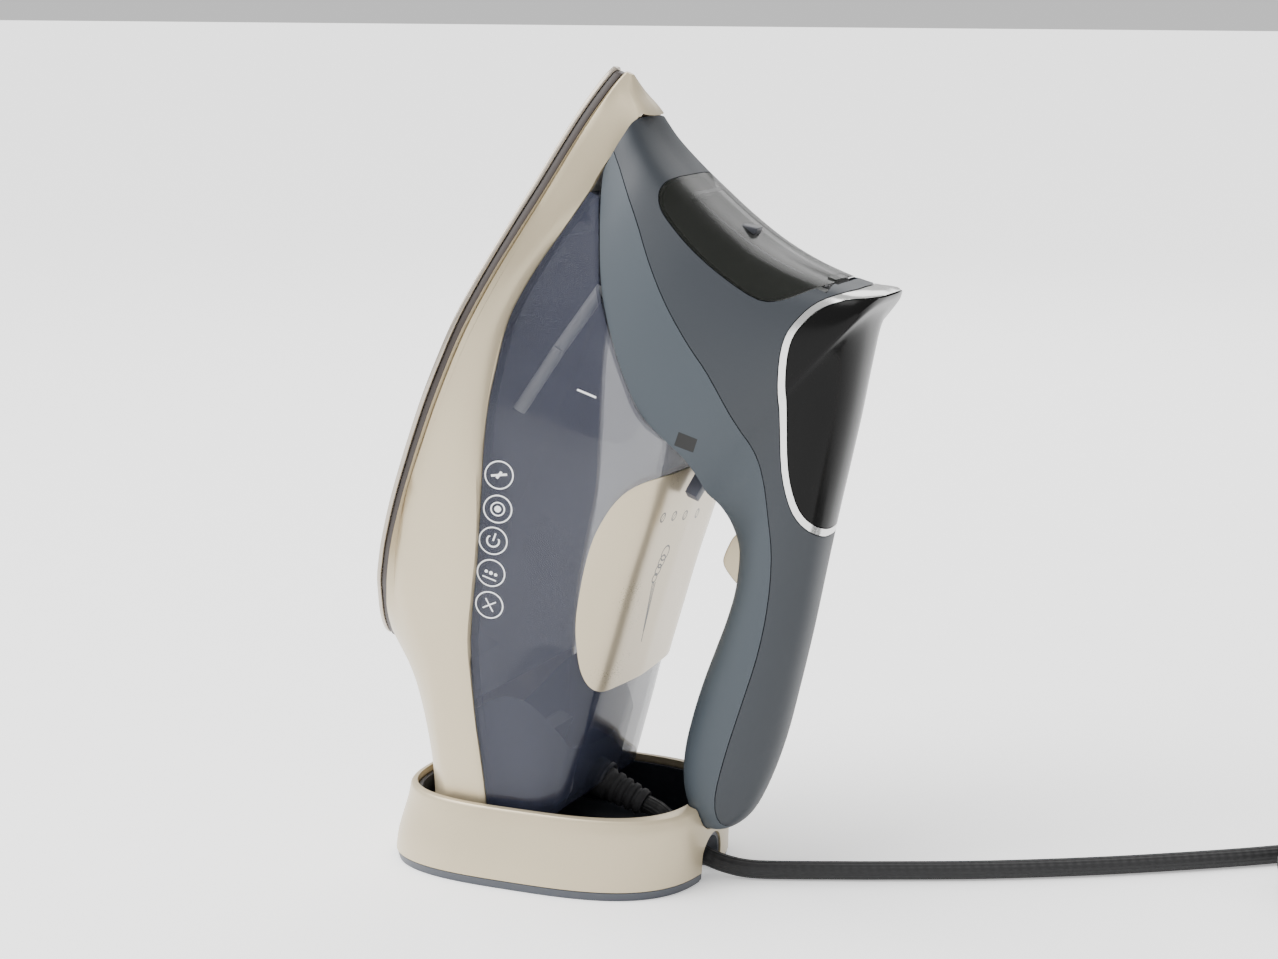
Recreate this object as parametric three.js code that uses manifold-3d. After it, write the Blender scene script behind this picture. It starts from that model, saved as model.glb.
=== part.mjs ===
// A steam iron parked nose-up in its oval stand, with its mains lead and plug.
// Millimetres, +Z up. The origin is the centre of the stand's underside, +X towards the handle side.
// The iron is built in its own frame: x runs from heel to tip, y across, z from the sole upwards.
import * as THREE from "three";
import { mergeVertices } from "three/addons/utils/BufferGeometryUtils.js";
import Module from "manifold-3d";

const wasm = await Module();
wasm.setup();

// ---- driving dimensions ----
const GAP = 0.35; // play between neighbouring pieces
const WALL = 2.2; // moulded shell thickness
const TILT = THREE.MathUtils.degToRad(21); // lean of the parked iron from upright
const SOLE_DIP = THREE.MathUtils.degToRad(2); // the sole plane against the body frame
const HEEL_PLACE = new THREE.Vector3(-60.3, 0, 79.7); // place of the body frame when parked
const SOLE_LENGTH = 236;
const PLATE_THICK = 1.8;
const BAND_TOP = 4.6;
const STAND_RIM = 30;
const STAND_BASE = 3.2;
const ARCH_HALF = 9;
const ARCH_TOP = 17;
const CORD_DIAMETER = 7;
const COIL_PLACE = new THREE.Vector3(312, 78, 0);
const COIL_EXIT = 52.75; // centre line of the last turn, where the tail leaves
const COIL_OUTER = 56.6;
const COIL_INNER = 25.5;
const COIL_HEIGHT = 14.4;

// ---- colours ----
const FINISH = {
  champagne: { color: 0xcfc5b2, roughness: 0.38, metalness: 0.55 },
  grip: { color: 0x68747c, roughness: 0.62, metalness: 0 },
  slate: { color: 0x555c68, roughness: 0.45, metalness: 0 },
  smokyBlue: { color: 0x555e78, roughness: 0.1, metalness: 0, transparent: true, opacity: 0.55 },
  smokedClear: { color: 0x4a4c47, roughness: 0.08, metalness: 0, transparent: true, opacity: 0.6 },
  gloss: { color: 0x1c1d1f, roughness: 0.08, metalness: 0 },
  silver: { color: 0xc9cacb, roughness: 0.25, metalness: 0.9 },
  dark: { color: 0x33343a, roughness: 0.5, metalness: 0 },
  band: { color: 0x453b38, roughness: 0.55, metalness: 0 },
  sole: { color: 0xa79c8c, roughness: 0.3, metalness: 0.7 },
  casting: { color: 0xa9abac, roughness: 0.5, metalness: 0.8 },
  steel: { color: 0xb8babc, roughness: 0.3, metalness: 1 },
  brass: { color: 0xb59a5a, roughness: 0.3, metalness: 1 },
  board: { color: 0x2f5a3c, roughness: 0.5, metalness: 0 },
  white: { color: 0xdfe0dc, roughness: 0.5, metalness: 0 },
  black: { color: 0x1e1e20, roughness: 0.6, metalness: 0 },
  rubber: { color: 0x2a2a2c, roughness: 0.8, metalness: 0 },
};

// ---- solids ----
function solid(geometry) {
  const bare = geometry.clone();
  bare.deleteAttribute("normal");
  bare.deleteAttribute("uv");
  const merged = mergeVertices(bare, 1e-4);
  return new wasm.Manifold(new wasm.Mesh({
    numProp: 3,
    vertProperties: new Float32Array(merged.attributes.position.array),
    triVerts: new Uint32Array(merged.index.array),
  }));
}

function shape(body) {
  const mesh = body.getMesh();
  const geometry = new THREE.BufferGeometry();
  geometry.setAttribute("position", new THREE.BufferAttribute(mesh.vertProperties.slice(), 3));
  geometry.setIndex(new THREE.BufferAttribute(mesh.triVerts.slice(), 1));
  geometry.computeVertexNormals();
  return geometry;
}

// Closed skin over a row of rings that all hold the same number of points.
function loft(rings) {
  const count = rings[0].length;
  const points = rings.flat();
  const faces = [];
  for (let i = 0; i + 1 < rings.length; i++) {
    for (let j = 0; j < count; j++) {
      const a = i * count + j;
      const b = i * count + (j + 1) % count;
      faces.push(a, b, b + count, a, b + count, a + count);
    }
  }
  const last = (rings.length - 1) * count;
  for (const [ring, start, turn] of [[rings[0], 0, true], [rings.at(-1), last, false]]) {
    const centre = ring.reduce((sum, p) => sum.add(p), new THREE.Vector3()).divideScalar(count);
    points.push(centre);
    const hub = points.length - 1;
    for (let j = 0; j < count; j++) {
      const a = start + j;
      const b = start + (j + 1) % count;
      faces.push(...(turn ? [b, a, hub] : [a, b, hub]));
    }
  }
  const geometry = new THREE.BufferGeometry().setFromPoints(points);
  geometry.setIndex(faces);
  return outward(geometry);
}

function outward(geometry) {
  const p = geometry.attributes.position;
  const index = geometry.index.array;
  const [a, b, c] = [new THREE.Vector3(), new THREE.Vector3(), new THREE.Vector3()];
  let volume = 0;
  for (let i = 0; i < index.length; i += 3) {
    a.fromBufferAttribute(p, index[i]);
    b.fromBufferAttribute(p, index[i + 1]);
    c.fromBufferAttribute(p, index[i + 2]);
    volume += a.dot(b.cross(c));
  }
  if (volume < 0) {
    for (let i = 0; i < index.length; i += 3) {
      [index[i], index[i + 1]] = [index[i + 1], index[i]];
    }
  }
  return geometry;
}

// Side-view outline [x, z] pushed through the whole width of the iron.
function slab(outline, half = 80) {
  const path = new THREE.Shape(outline.map(([x, z]) => new THREE.Vector2(x, z)));
  const geometry = new THREE.ExtrudeGeometry(path, { depth: 2 * half, bevelEnabled: false });
  return solid(geometry.translate(0, 0, -half).rotateX(Math.PI / 2));
}

// Plan-view outline [x, y] pushed up from z0 to z1.
function plate(outline, z0, z1) {
  const path = new THREE.Shape(outline.map(([x, y]) => new THREE.Vector2(x, y)));
  const geometry = new THREE.ExtrudeGeometry(path, { depth: z1 - z0, bevelEnabled: false });
  return solid(geometry.translate(0, 0, z0));
}

// Closed outline moved outwards by d (inwards when d is negative).
function grown(outline, d) {
  const pts = outline.map(([x, y]) => new THREE.Vector2(x, y));
  const side = Math.sign(THREE.ShapeUtils.area(pts));
  return pts.map((p, i) => {
    const before = p.clone().sub(pts.at(i - 1)).normalize();
    const after = pts[(i + 1) % pts.length].clone().sub(p).normalize();
    const normal = new THREE.Vector2(before.y + after.y, -before.x - after.x).normalize();
    const stretch = Math.max(0.4, normal.x * after.y - normal.y * after.x);
    return p.addScaledVector(normal, side * d / stretch).toArray();
  });
}

// Open line moved sideways by d, to its left when d is positive.
function shifted(line, d) {
  return line.map(([x, y], i) => {
    const [x0, y0] = line[Math.max(i - 1, 0)];
    const [x1, y1] = line[Math.min(i + 1, line.length - 1)];
    const length = Math.hypot(x1 - x0, y1 - y0);
    return [x - d * (y1 - y0) / length, y + d * (x1 - x0) / length];
  });
}

function rod(from, to, radius, sides = 12, endRadius = radius) {
  const axis = new THREE.Vector3().subVectors(to, from);
  const geometry = new THREE.CylinderGeometry(endRadius, radius, axis.length(), sides);
  geometry.translate(0, axis.length() / 2, 0);
  geometry.applyQuaternion(new THREE.Quaternion().setFromUnitVectors(
    new THREE.Vector3(0, 1, 0), axis.normalize()));
  return solid(geometry.translate(from.x, from.y, from.z));
}

const at = (x, y, z) => new THREE.Vector3(x, y, z);

function block(low, high) {
  const geometry = new THREE.BoxGeometry(high[0] - low[0], high[1] - low[1], high[2] - low[2]);
  return solid(geometry.translate(
    (low[0] + high[0]) / 2, (low[1] + high[1]) / 2, (low[2] + high[2]) / 2));
}

function tube(points, radius, sides, steps) {
  const curve = new THREE.CatmullRomCurve3(points.map((p) => at(...p)), false, "centripetal");
  const section = new THREE.Shape();
  for (let i = 0; i < sides; i++) {
    const a = 2 * Math.PI * i / sides;
    section[i ? "lineTo" : "moveTo"](radius * Math.cos(a), radius * Math.sin(a));
  }
  return solid(new THREE.ExtrudeGeometry(section, { extrudePath: curve, steps, bevelEnabled: false }));
}

// ---- the two master bodies ----
// Half of a hood section: [depth from the ridge, half-width], both as fractions.
const HOOD_SECTION = [
  [0, 0], [0, 0.3], [0.02, 0.55], [0.06, 0.69], [0.13, 0.79], [0.25, 0.87], [0.45, 0.935],
  [0.75, 0.985], [1, 1], [1, 0],
];
// Stations of hood and handle: outer x, z; inner x, z; half-width; how far the section closes.
const HOOD = [
  [225, 18.8, 206, 16.6, 19.8, 0], [219, 26.5, 196, 21.3, 24.5, 0],
  [213.5, 36.5, 182, 29.2, 30.5, 0], [208.5, 49, 167, 37.6, 34.3, 0],
  [204, 62, 153, 48.5, 36.6, 0], [200.5, 76, 141.5, 58.8, 37, 0],
  [198.8, 90, 133, 68, 36, 0], [198.8, 104, 128, 78, 34, 0],
  [200, 116, 124, 86.5, 31.5, 0], [202.5, 127, 118, 92, 28, 0.1],
  [192, 124.8, 112, 95.5, 25.5, 0.3], [178, 127.3, 107, 100, 22.5, 0.6],
  [158, 131.2, 101, 105.5, 20.5, 0.8], [139, 134.3, 92, 110.5, 19, 1],
  [120, 137.2, 79, 114, 18, 1], [100, 140.6, 67, 115, 17.3, 1],
  [75, 144.9, 55, 115, 17, 1], [52, 148.2, 42, 115, 17, 1],
  [32, 150.6, 28, 115.8, 17, 1], [14, 151, 14, 117.7, 16.5, 1],
  [0, 149.3, 3, 121.5, 15.3, 1], [-8, 144.5, -4.5, 126.5, 12, 1],
  [-11.5, 137.8, -9.5, 130.5, 7, 1],
];

function hood(inset) {
  const last = HOOD_SECTION.length - 1;
  const rings = HOOD.map(([ox, oz, ix, iz, width, closed]) => {
    const span = Math.hypot(ix - ox, iz - oz);
    const down = [(ix - ox) / span, (iz - oz) / span];
    const reach = closed < 0.35 && inset > 0 ? 14 : -inset;
    const b = width - inset;
    const half = HOOD_SECTION.map(([depth, across], k) => {
      const a = Math.PI * k / last;
      const round = [0.5 - 0.5 * power(Math.cos(a), 0.87), power(Math.sin(a), 0.87)];
      const s = depth + (round[0] - depth) * closed;
      const v = across + (round[1] - across) * closed;
      const t = inset + s * (span + reach - inset);
      return [ox + down[0] * t, b * v, oz + down[1] * t];
    });
    return mirrored(half);
  });
  const from = inset > 0 ? 1 : 0;
  return solid(loft(rings.slice(from, rings.length - from)));
}

const power = (x, n) => Math.sign(x) * Math.abs(x) ** n;

// Full ring from a half ring that starts and ends in the mid plane.
function mirrored(half) {
  const back = half.slice(1, -1).reverse().map(([x, y, z]) => [x, -y, z]);
  return [...half, ...back].map((p) => at(...p));
}

// Stations of the lower body: x; flat half-width, edge half-width, underside z, heel rounding;
// crease; skirt top; tank shoulder; deck edge (each a half-width and a z); deck crown z.
const BODY = [
  [235.6, 1.4, 1.6, 4.9, 0, 1.5, 6.3, 1.3, 6.8, 1.1, 7.3, 0.8, 7.8, 8.2],
  [231, 7, 7.2, 4.75, 0, 6.7, 7.2, 6.1, 9, 5.5, 11, 4, 13, 14],
  [226, 11.3, 11.6, 4.6, 0, 10.7, 8.6, 9.7, 14, 9, 18, 7, 21, 22],
  [218, 17.1, 17.6, 4.3, 0, 15.9, 13.5, 14.3, 19, 13.5, 23, 11, 27, 28],
  [206, 23.9, 24.6, 3.9, 0, 22.4, 13, 20.6, 17.3, 20.2, 24, 17, 31, 32],
  [192, 31, 32, 3.4, 0, 29.6, 12.5, 27.2, 16.5, 26.7, 26, 23, 36, 37],
  [176, 39.8, 41, 2.85, 0, 37.3, 10.8, 33.4, 13.7, 32.5, 34, 28, 46, 47],
  [160, 48.1, 49.6, 2.3, 0, 45, 9.4, 39.6, 11.6, 36.2, 44, 31, 58, 59],
  [140, 55.1, 56.8, 1.6, 0, 51.5, 9.3, 45.6, 11.8, 37, 60, 31, 74, 75],
  [117, 57, 58.8, 0.8, 0, 54, 13, 49, 16, 40.6, 66, 30.5, 80, 82.5],
  [95, 55.9, 57.6, 0, 0, 54.3, 19, 50.6, 22.5, 41.5, 67, 31, 82, 84],
  [71, 52.6, 54.2, -0.8, 0, 53, 27, 50.4, 30, 41.5, 68, 31, 83, 85.5],
  [50, 48.5, 50, -1.55, 5, 50.8, 31.5, 48.6, 34.5, 41.3, 69, 31, 84.5, 87],
  [30, 39.5, 46.5, -2.25, 14, 48.4, 36, 46, 39, 40.6, 71, 31, 86, 88.5],
  [12, 25, 45, -2.9, 29, 45, 43, 43.3, 46, 39.6, 74, 31, 88, 90],
  [-4, 10, 42.4, 6, 27, 42.4, 50, 41, 53, 38.4, 77, 31, 89.5, 91.5],
  [-20, 8, 39.6, 17.4, 22, 40, 56.5, 39, 59.5, 37, 80, 31, 91, 93],
  [-36, 8, 35.8, 25.8, 20, 36.8, 62.5, 36.4, 65.5, 35.6, 82, 31, 92, 94],
  [-52, 8, 33.6, 32, 20, 35, 68, 34.8, 71, 34.6, 84, 30.5, 93, 95],
  [-66, 8, 33, 37, 20, 35, 72, 34.6, 75, 33.8, 85.5, 30, 94, 96],
];

function body(inset) {
  const rows = BODY.filter(([, , edge]) => edge > Math.max(inset, 0) + 1.5);
  return solid(loft(rows.map((row) => {
    const [x, flat, edge, under, heel, crease, creaseZ, top, topZ, ...upper] = row;
    const [shoulder, shoulderZ, deck, deckZ, crown] = upper;
    const [fit, low, rise] = [(edge - inset) / edge, under + inset, shoulderZ - topZ];
    const half = [
      [0, low], [flat * fit, low + 0.3],
      [(flat + 0.55 * (edge - flat)) * fit, low + 0.38 * heel + 0.5],
      [(flat + 0.88 * (edge - flat)) * fit, low + 0.75 * heel + 0.8],
      [edge - inset, low + heel + 1.1], [crease - inset, creaseZ], [top - inset, topZ],
      [top + (shoulder - top) * 0.5 - inset, topZ + rise * 0.5], [shoulder - inset, shoulderZ - inset * 0.3],
      [shoulder - (shoulder - deck) * 0.38 - inset, shoulderZ + (deckZ - shoulderZ) * 0.62 - inset * 0.6],
      [deck - inset * 0.6, deckZ - inset], [0.55 * deck, (deckZ + 2 * crown) / 3 - inset], [0, crown - inset],
    ];
    return mirrored(half.map(([y, z]) => [x, y, z]));
  })));
}

// ---- side-view lines of the iron ----
const SOLE_MARKS = [
  [0, 9], [2, 13.5], [6, 18.5], [13, 25.4], [23, 33.4], [32, 40], [41, 44.6], [50, 48.5],
  [66, 53.4], [81, 56.3], [96, 58.3], [111, 59.5], [125, 59.1], [140, 57.4], [153, 53.1],
  [166, 47], [180, 39.5], [193, 32], [207, 24.6], [219, 17.5], [228, 10.5], [233, 5.6],
  [235.8, 1.6],
];
const SKIRT_TOP = [
  [224.5, 20.5], [219, 18.9], [212, 18], [204, 17], [196, 16.8], [187, 15.6], [179, 14.2],
  [167, 12.2], [154, 11.1], [144, 11.4], [129, 14], [117, 16.2], [103, 20], [82, 26.6], [61, 32.3],
  [30, 38.8], [5, 48], [-16, 57.4], [-34, 64.8], [-60, 74],
];
const HOOD_EDGE = [
  [207, 16.8], [196, 21.3], [182, 29.2], [167, 37.6], [153, 48.5], [141.5, 58.8],
  [133, 68], [128, 78], [124, 86.5], [121, 96],
];
const SEAM = [
  [214, 10], [212, 18], [197, 37], [184, 50], [173, 62], [163, 75], [156, 85], [143, 99],
  [129, 111], [113, 120], [100, 126], [82, 131], [63, 134], [42, 135.3], [22, 136.5], [6, 138.5],
  [-4, 143], [-6, 150],
];
const LID = [
  [230, 50], [222, 47.5], [212, 42], [207, 41.5], [202, 45], [198, 52], [193, 64], [189, 78],
  [187, 91], [190, 98.5], [196, 105], [201, 111], [206, 112.5], [216, 112.5],
];
const DISPLAY = [
  [214, 124.2], [203.8, 124.2], [199.8, 116], [194, 109.5], [187, 106], [179, 104.3], [168, 106],
  [149, 111.5], [132, 118], [121, 125], [115.5, 131], [112, 138], [112, 150], [214, 150],
];
const DECK_PLATE = [
  [118, 100], [117, 87], [111, 77.5], [102, 72], [89, 69.4], [77, 69.6], [65, 71.2], [54, 73.4],
  [45, 76.6], [35, 81.5], [29.5, 88], [28, 100],
];
const HEEL_PLANE = [[-63.2, 30.5], [-50.9, 62.5], [-31, 84], [-12, 94.2]];
const HEEL_HOUSING = [
  ...HEEL_PLANE, [-2, 90], [9, 80], [16, 66], [14, 54], [4, 45], [-14, 38], [-34, 30],
];

function soleEdge(x) {
  const i = Math.max(1, SOLE_MARKS.findIndex(([mark]) => mark >= x));
  const [[x0, y0], [x1, y1]] = [SOLE_MARKS[i - 1], SOLE_MARKS[i]];
  return y0 + (y1 - y0) * (x - x0) / (x1 - x0);
}

function soleOutline(inset) {
  const kept = SOLE_MARKS.map(([x]) => x).filter((x) => x > inset && soleEdge(x) > inset + 1.4);
  const xs = [inset, ...kept];
  const near = xs.map((x) => [x, inset - soleEdge(x)]);
  const far = xs.map((x) => [x, soleEdge(x) - inset]).reverse();
  return [...near, ...far];
}

// The sole and its heater lie in a plane dipped about the tip.
const footPlace = new THREE.Matrix4().makeRotationY(-SOLE_DIP).setPosition(
  SOLE_LENGTH * (1 - Math.cos(SOLE_DIP)), 0, -SOLE_LENGTH * Math.sin(SOLE_DIP));
const dipped = (body3d) => solid(shape(body3d).applyMatrix4(footPlace));

// ---- iron: shells ----
const BIG = 260;
const KEEP = [
  [BIG, -20], [-82.6, -20], [-50.9, 62.5], [-31, 84], [-12, 94.2], [-12, 130], [BIG, 130],
];
const ABOVE_SKIRT = [
  [225.4, 200], [225.4, 19.6], [219, 19.4], [212, 18.4], [204, 17.4], [196, 17.2], [187, 16],
  [-100, 16], [-100, 200],
];
const hoodShell = hood(0).subtract(hood(WALL)).intersect(slab(ABOVE_SKIRT));
const FUNNEL_TOP = at(206, 0, 69.8);
const FUNNEL_END = at(172, 0, 27);
const LID_HINGE = [196.4, 107];
const TRIGGER_HINGE = [98.5, 116.5];
const LEVER_HINGE = [131, 0];
const LEVER_REACH = 31.9;
const LEVER_REST = THREE.MathUtils.degToRad(32); // the steam lever's turn towards the near side
const GUARD_X = -17;

function gripShell() {
  const side = slab([...shifted(SEAM, GAP / 2), [-60, 150], [-60, -20], [214, -20]]);
  const slot = block([79.8, -6.5, 100], [102, 6.5, 119]);
  return hoodShell.intersect(side).subtract(slot);
}

function coverShell() {
  const side = slab([...shifted(SEAM, -GAP / 2), [-6, 170], [BIG, 170], [BIG, 10]]);
  const [x, z] = LID_HINGE;
  const hingeSeat = block([x - 3, -10.5, z - 3], [x + 8, 10.5, z + 3.4]);
  const swing = rod(at(x, -19.6, z), at(x, 19.6, z), 3.4, 24);
  return hoodShell.intersect(side).subtract(slab(LID)).subtract(slab(DISPLAY))
    .subtract(hingeSeat).subtract(swing);
}

function bezel() {
  return hoodShell.intersect(slab(grown(DISPLAY, -GAP))).subtract(slab(grown(DISPLAY, -2.6)));
}

function displayWindow() {
  const front = slab([[100, 100], [201.5, 100], [201.5, 160], [100, 160]]);
  return hoodShell.intersect(slab(grown(DISPLAY, -2.6 - GAP))).intersect(front);
}

function fillLid() {
  const [x, z] = LID_HINGE;
  const panel = hoodShell.intersect(slab(grown(LID, -GAP)))
    .intersect(slab([[150, 0], [BIG, 0], [BIG, 110], [150, 110]]));
  const knuckle = rod(at(x, -7, z), at(x, 7, z), 2.5).add(block([x, -7, z - 2], [x + 3.2, 7, z + 1]));
  return panel.add(knuckle).subtract(rod(at(x, -9, z), at(x, 9, z), 1.55));
}

function fillFunnel() {
  const [x, z] = LID_HINGE;
  const beyond = new THREE.Vector3().subVectors(FUNNEL_TOP, FUNNEL_END).multiplyScalar(0.3).add(FUNNEL_TOP);
  const inside = hood(WALL + 0.5);
  const spout = rod(FUNNEL_END, beyond, 7, 14).intersect(inside);
  return inside.subtract(hood(WALL + 2)).intersect(slab(grown(LID, 2))).add(spout)
    .subtract(rod(FUNNEL_END.clone().sub(at(3, 0, 3.8)), beyond, 5.4, 14))
    .subtract(block([x - 6, -11, z - 4], [x + 8, 11, z + 9]));
}

function soleplate() {
  let plateBody = plate(soleOutline(0), 0, PLATE_THICK);
  for (let x = 58; x < 220; x += 13) {
    const y = soleEdge(x) - 11;
    for (const side of y > 4 ? [-y, y] : [0]) {
      plateBody = plateBody.subtract(rod(at(x, side, -1), at(x, side, 4), 1.4, 6));
    }
  }
  return plateBody;
}

function soleBand() {
  return plate(soleOutline(0.9), PLATE_THICK + GAP, BAND_TOP)
    .subtract(plate(soleOutline(8), 0, 10));
}

function skirt() {
  const region = slab([
    [BIG, 40], [225.8, 40], [225.8, 19.1], ...SKIRT_TOP.slice(1), [-90, 84], [-90, -20], [BIG, -20],
  ]);
  return body(0).intersect(region).intersect(slab(KEEP)).subtract(body(WALL))
    .subtract(dipped(plate(soleOutline(5.5), -5, 9)));
}

const tankOutline = [
  ...shifted(SKIRT_TOP, -GAP).slice(4), [-90, 84.5], [-90, 140], [120.5, 140],
  ...shifted(HOOD_EDGE, GAP + 0.1).slice(1).reverse(),
];

function tank() {
  const cavity = body(2).intersect(slab(grown(tankOutline, -2)));
  const heel = body(2.3).intersect(slab(grown(HEEL_HOUSING, GAP)));
  return body(0).intersect(slab(tankOutline)).intersect(slab(KEEP)).subtract(cavity).subtract(heel)
    .subtract(rod(FUNNEL_END, FUNNEL_TOP, 7.4, 14))
    .subtract(rod(at(GUARD_X, 0, 60), at(GUARD_X, 0, 100), 8.4, 12));
}

function heelHousing() {
  const cavity = body(5.2).intersect(slab(grown(HEEL_HOUSING, -2.4)));
  const collar = rod(at(GUARD_X, 0, 82), at(GUARD_X, 0, 93), 8).intersect(slab(KEEP));
  return body(2.7).intersect(slab(HEEL_HOUSING)).subtract(cavity).add(collar)
    .subtract(rod(at(GUARD_X, 0, 76), at(GUARD_X, 0, 100), 6.9, 12))
    .subtract(rod(at(-4, 0, 30), at(-4, 0, 56), 5));
}

function deckPlate() {
  return body(-1.9).subtract(body(-GAP)).intersect(slab(DECK_PLATE));
}

// ---- iron: inner parts ----
function elementPath() {
  const leg = [[14, 15, 18], [15.5, 15, 11], [21, 16, 6.7], [40, 22, 5.9], [90, 34, 5.9],
    [140, 29, 5.9], [178, 16, 5.9]];
  return [...leg, [194, 0, 5.9], ...leg.map(([x, y, z]) => [x, -y, z]).reverse()];
}

function heaterCasting() {
  const chamber = plate(soleOutline(32), 7.4, 12).intersect(block([72, -60, 0], [170, 60, 20]));
  return plate(soleOutline(10), PLATE_THICK + GAP, 9.4)
    .subtract(tube(elementPath(), 2.9, 6, 30)).subtract(chamber);
}

function chamberCover() {
  return plate(soleOutline(29), 9.75, 10.8).intersect(block([68, -60, 0], [174, 60, 20]));
}

function thermostat() {
  return rod(at(46, 0, 9.75), at(46, 0, 16), 8).add(rod(at(46, 0, 16), at(46, 0, 21), 3));
}

function trigger() {
  const outline = [
    [101, 112], [99.5, 108.3], [96, 106.2], [89, 105.6], [85.8, 106.4], [83.5, 109], [81, 114],
    [81, 118], [96, 119.5], [96.6, 126], [101.3, 126], [101.6, 117],
  ];
  const [x, z] = TRIGGER_HINGE;
  return slab(outline, 6).subtract(rod(at(x, -9, z), at(x, 9, z), 1.75));
}

function pump() {
  return rod(at(108, 0, 123.3), at(132, 0, 122.6), 4.6, 18)
    .subtract(rod(at(106, 0, 123.3), at(126, 0, 122.9), 2.9));
}

function steamLever() {
  const [x] = LEVER_HINGE;
  const tip = at(-LEVER_REACH, 0, 0).applyAxisAngle(at(0, 0, 1), -LEVER_REST).add(at(x, 0, 0));
  const arm = new THREE.BoxGeometry(LEVER_REACH, 6.4, 2.9).translate(-LEVER_REACH / 2, 0, 88.15)
    .rotateZ(-LEVER_REST);
  return rod(at(x, 0, 86.7), at(x, 0, 90), 6.5)
    .add(solid(arm.translate(x, 0, 0)))
    .add(rod(at(tip.x, tip.y, 86.7), at(tip.x, tip.y, 91.5), 4.2));
}

function valveBody() {
  const [x] = LEVER_HINGE;
  const above = slab([...shifted(HOOD_EDGE, -GAP), [121, 200], [BIG, 200], [BIG, 16]]);
  return rod(at(x, 0, 60), at(x, 0, 86.3), 7.5, 18).intersect(above)
    .subtract(rod(at(x, 0, 50), at(x, 0, 90), 2));
}

function cordGuard() {
  const profile = [[0, 78], [8.4, 78], [8.4, 80], [6.3, 80.4], [6.3, 94]];
  for (let i = 0; i < 4; i++) {
    const z = 95 + 3.6 * i;
    const r = 6.1 - 0.3 * i;
    profile.push([r - 0.9, z], [r - 0.9, z + 1.1], [r, z + 1.2], [r, z + 3.2]);
  }
  profile.push([4.6, 110], [0, 110]);
  const lathe = new THREE.LatheGeometry(profile.map(([r, z]) => new THREE.Vector2(r, z)), 12);
  return solid(lathe.rotateX(Math.PI / 2).translate(GUARD_X, 0, 0));
}

function cordClamp() {
  return block([-30, -10, 62], [-4, 10, 68]).subtract(rod(at(GUARD_X, 0, 60), at(GUARD_X, 0, 70), 3.6));
}

// ---- stand ----
function oval([centre, halfLength, halfWidth, z], squareness = 3, count = 32) {
  return Array.from({ length: count }, (_, i) => {
    const a = 2 * Math.PI * i / count;
    return at(centre + halfLength * power(Math.cos(a), 2 / squareness),
      halfWidth * power(Math.sin(a), 2 / squareness), z);
  });
}

const ovals = (rows) => solid(loft(rows.map((row) => oval(row))));

const STAND_OUTER = [
  [1.5, 62, 47, STAND_BASE + GAP], [2.2, 61.6, 46.4, 11], [4.6, 60.4, 44.6, 23],
  [4.9, 59.7, 43.6, 28.2], [5, 58.6, 42.5, STAND_RIM],
];
const ironPlace = new THREE.Matrix4().makeBasis(
  at(Math.sin(TILT), 0, Math.cos(TILT)), at(0, -1, 0), at(Math.cos(TILT), 0, -Math.sin(TILT)),
).setPosition(HEEL_PLACE);

function archCut(extra, from) {
  const half = ARCH_HALF + extra;
  return block([from, -half, -2], [90, half, ARCH_TOP - ARCH_HALF])
    .add(rod(at(from, 0, ARCH_TOP - ARCH_HALF), at(90, 0, ARCH_TOP - ARCH_HALF), half, 24));
}

const handleSeat = solid(shape(hood(-0.7)).applyMatrix4(ironPlace));

function standShell() {
  const inner = ovals([[1.5, 59.6, 44.6, 3], [4, 58.4, 42, 23], [4.6, 57.4, 41.2, 27.6]]);
  const mouth = ovals([[3, 55.4, 40.8, 20], [3, 55.4, 40.8, 40]]);
  return ovals(STAND_OUTER).subtract(inner).subtract(mouth).subtract(handleSeat)
    .subtract(archCut(0, 46));
}

function standLiner() {
  const outer = ovals([[3, 55, 40.4, STAND_BASE + GAP], [3, 55, 40.4, 27.2]]);
  const well = ovals([[3, 53.6, 39, 9.4], [3, 53.6, 39, 40]]);
  return outer.subtract(well).subtract(handleSeat).subtract(archCut(0, 46));
}

function archLining() {
  const within = ovals([[1.5, 61, 46, 0.4], [4.2, 59.6, 44, 23]]);
  return archCut(-GAP, 55).subtract(archCut(-GAP - 1.3, 50)).intersect(within)
    .subtract(handleSeat);
}

const FEET = [[-42, -24], [-42, 24], [38, -28], [38, 28]];
const STAND_SCREWS = [[-34, 0], [12, 30], [12, -30]];

function standBase() {
  let base = ovals([[1.5, 61, 46, 0], [1.5, 61.8, 46.8, STAND_BASE]]).subtract(archCut(0, 46));
  for (const [x, y] of FEET) {
    base = base.subtract(rod(at(x, y, -1), at(x, y, 1.6), 6.4));
  }
  for (const [x, y] of STAND_SCREWS) {
    base = base.subtract(rod(at(x, y, -1), at(x, y, 5), 3.4));
  }
  return base;
}

// ---- lead and plug ----
const LEAD = [
  [36.63, 0, 24.28], [41.3, 0, 22.5], [46.2, 0, 19], [51, 0, 14.2], [56, 0, 10.3], [62, 0, 7],
  [70, 0.6, 4.8], [79, 2.4, 3.7], [92, 7.2, 3.6], [108, 14, 3.6], [124, 21, 3.6], [160, 38, 3.6],
  [200, 61, 3.6], [240, 88, 3.6], [267, 108.5, 3.6], [291.5, 124.1, 3.6],
];
const PLUG_PLACE = at(COIL_PLACE.x + COIL_EXIT, 8, 0);

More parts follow.
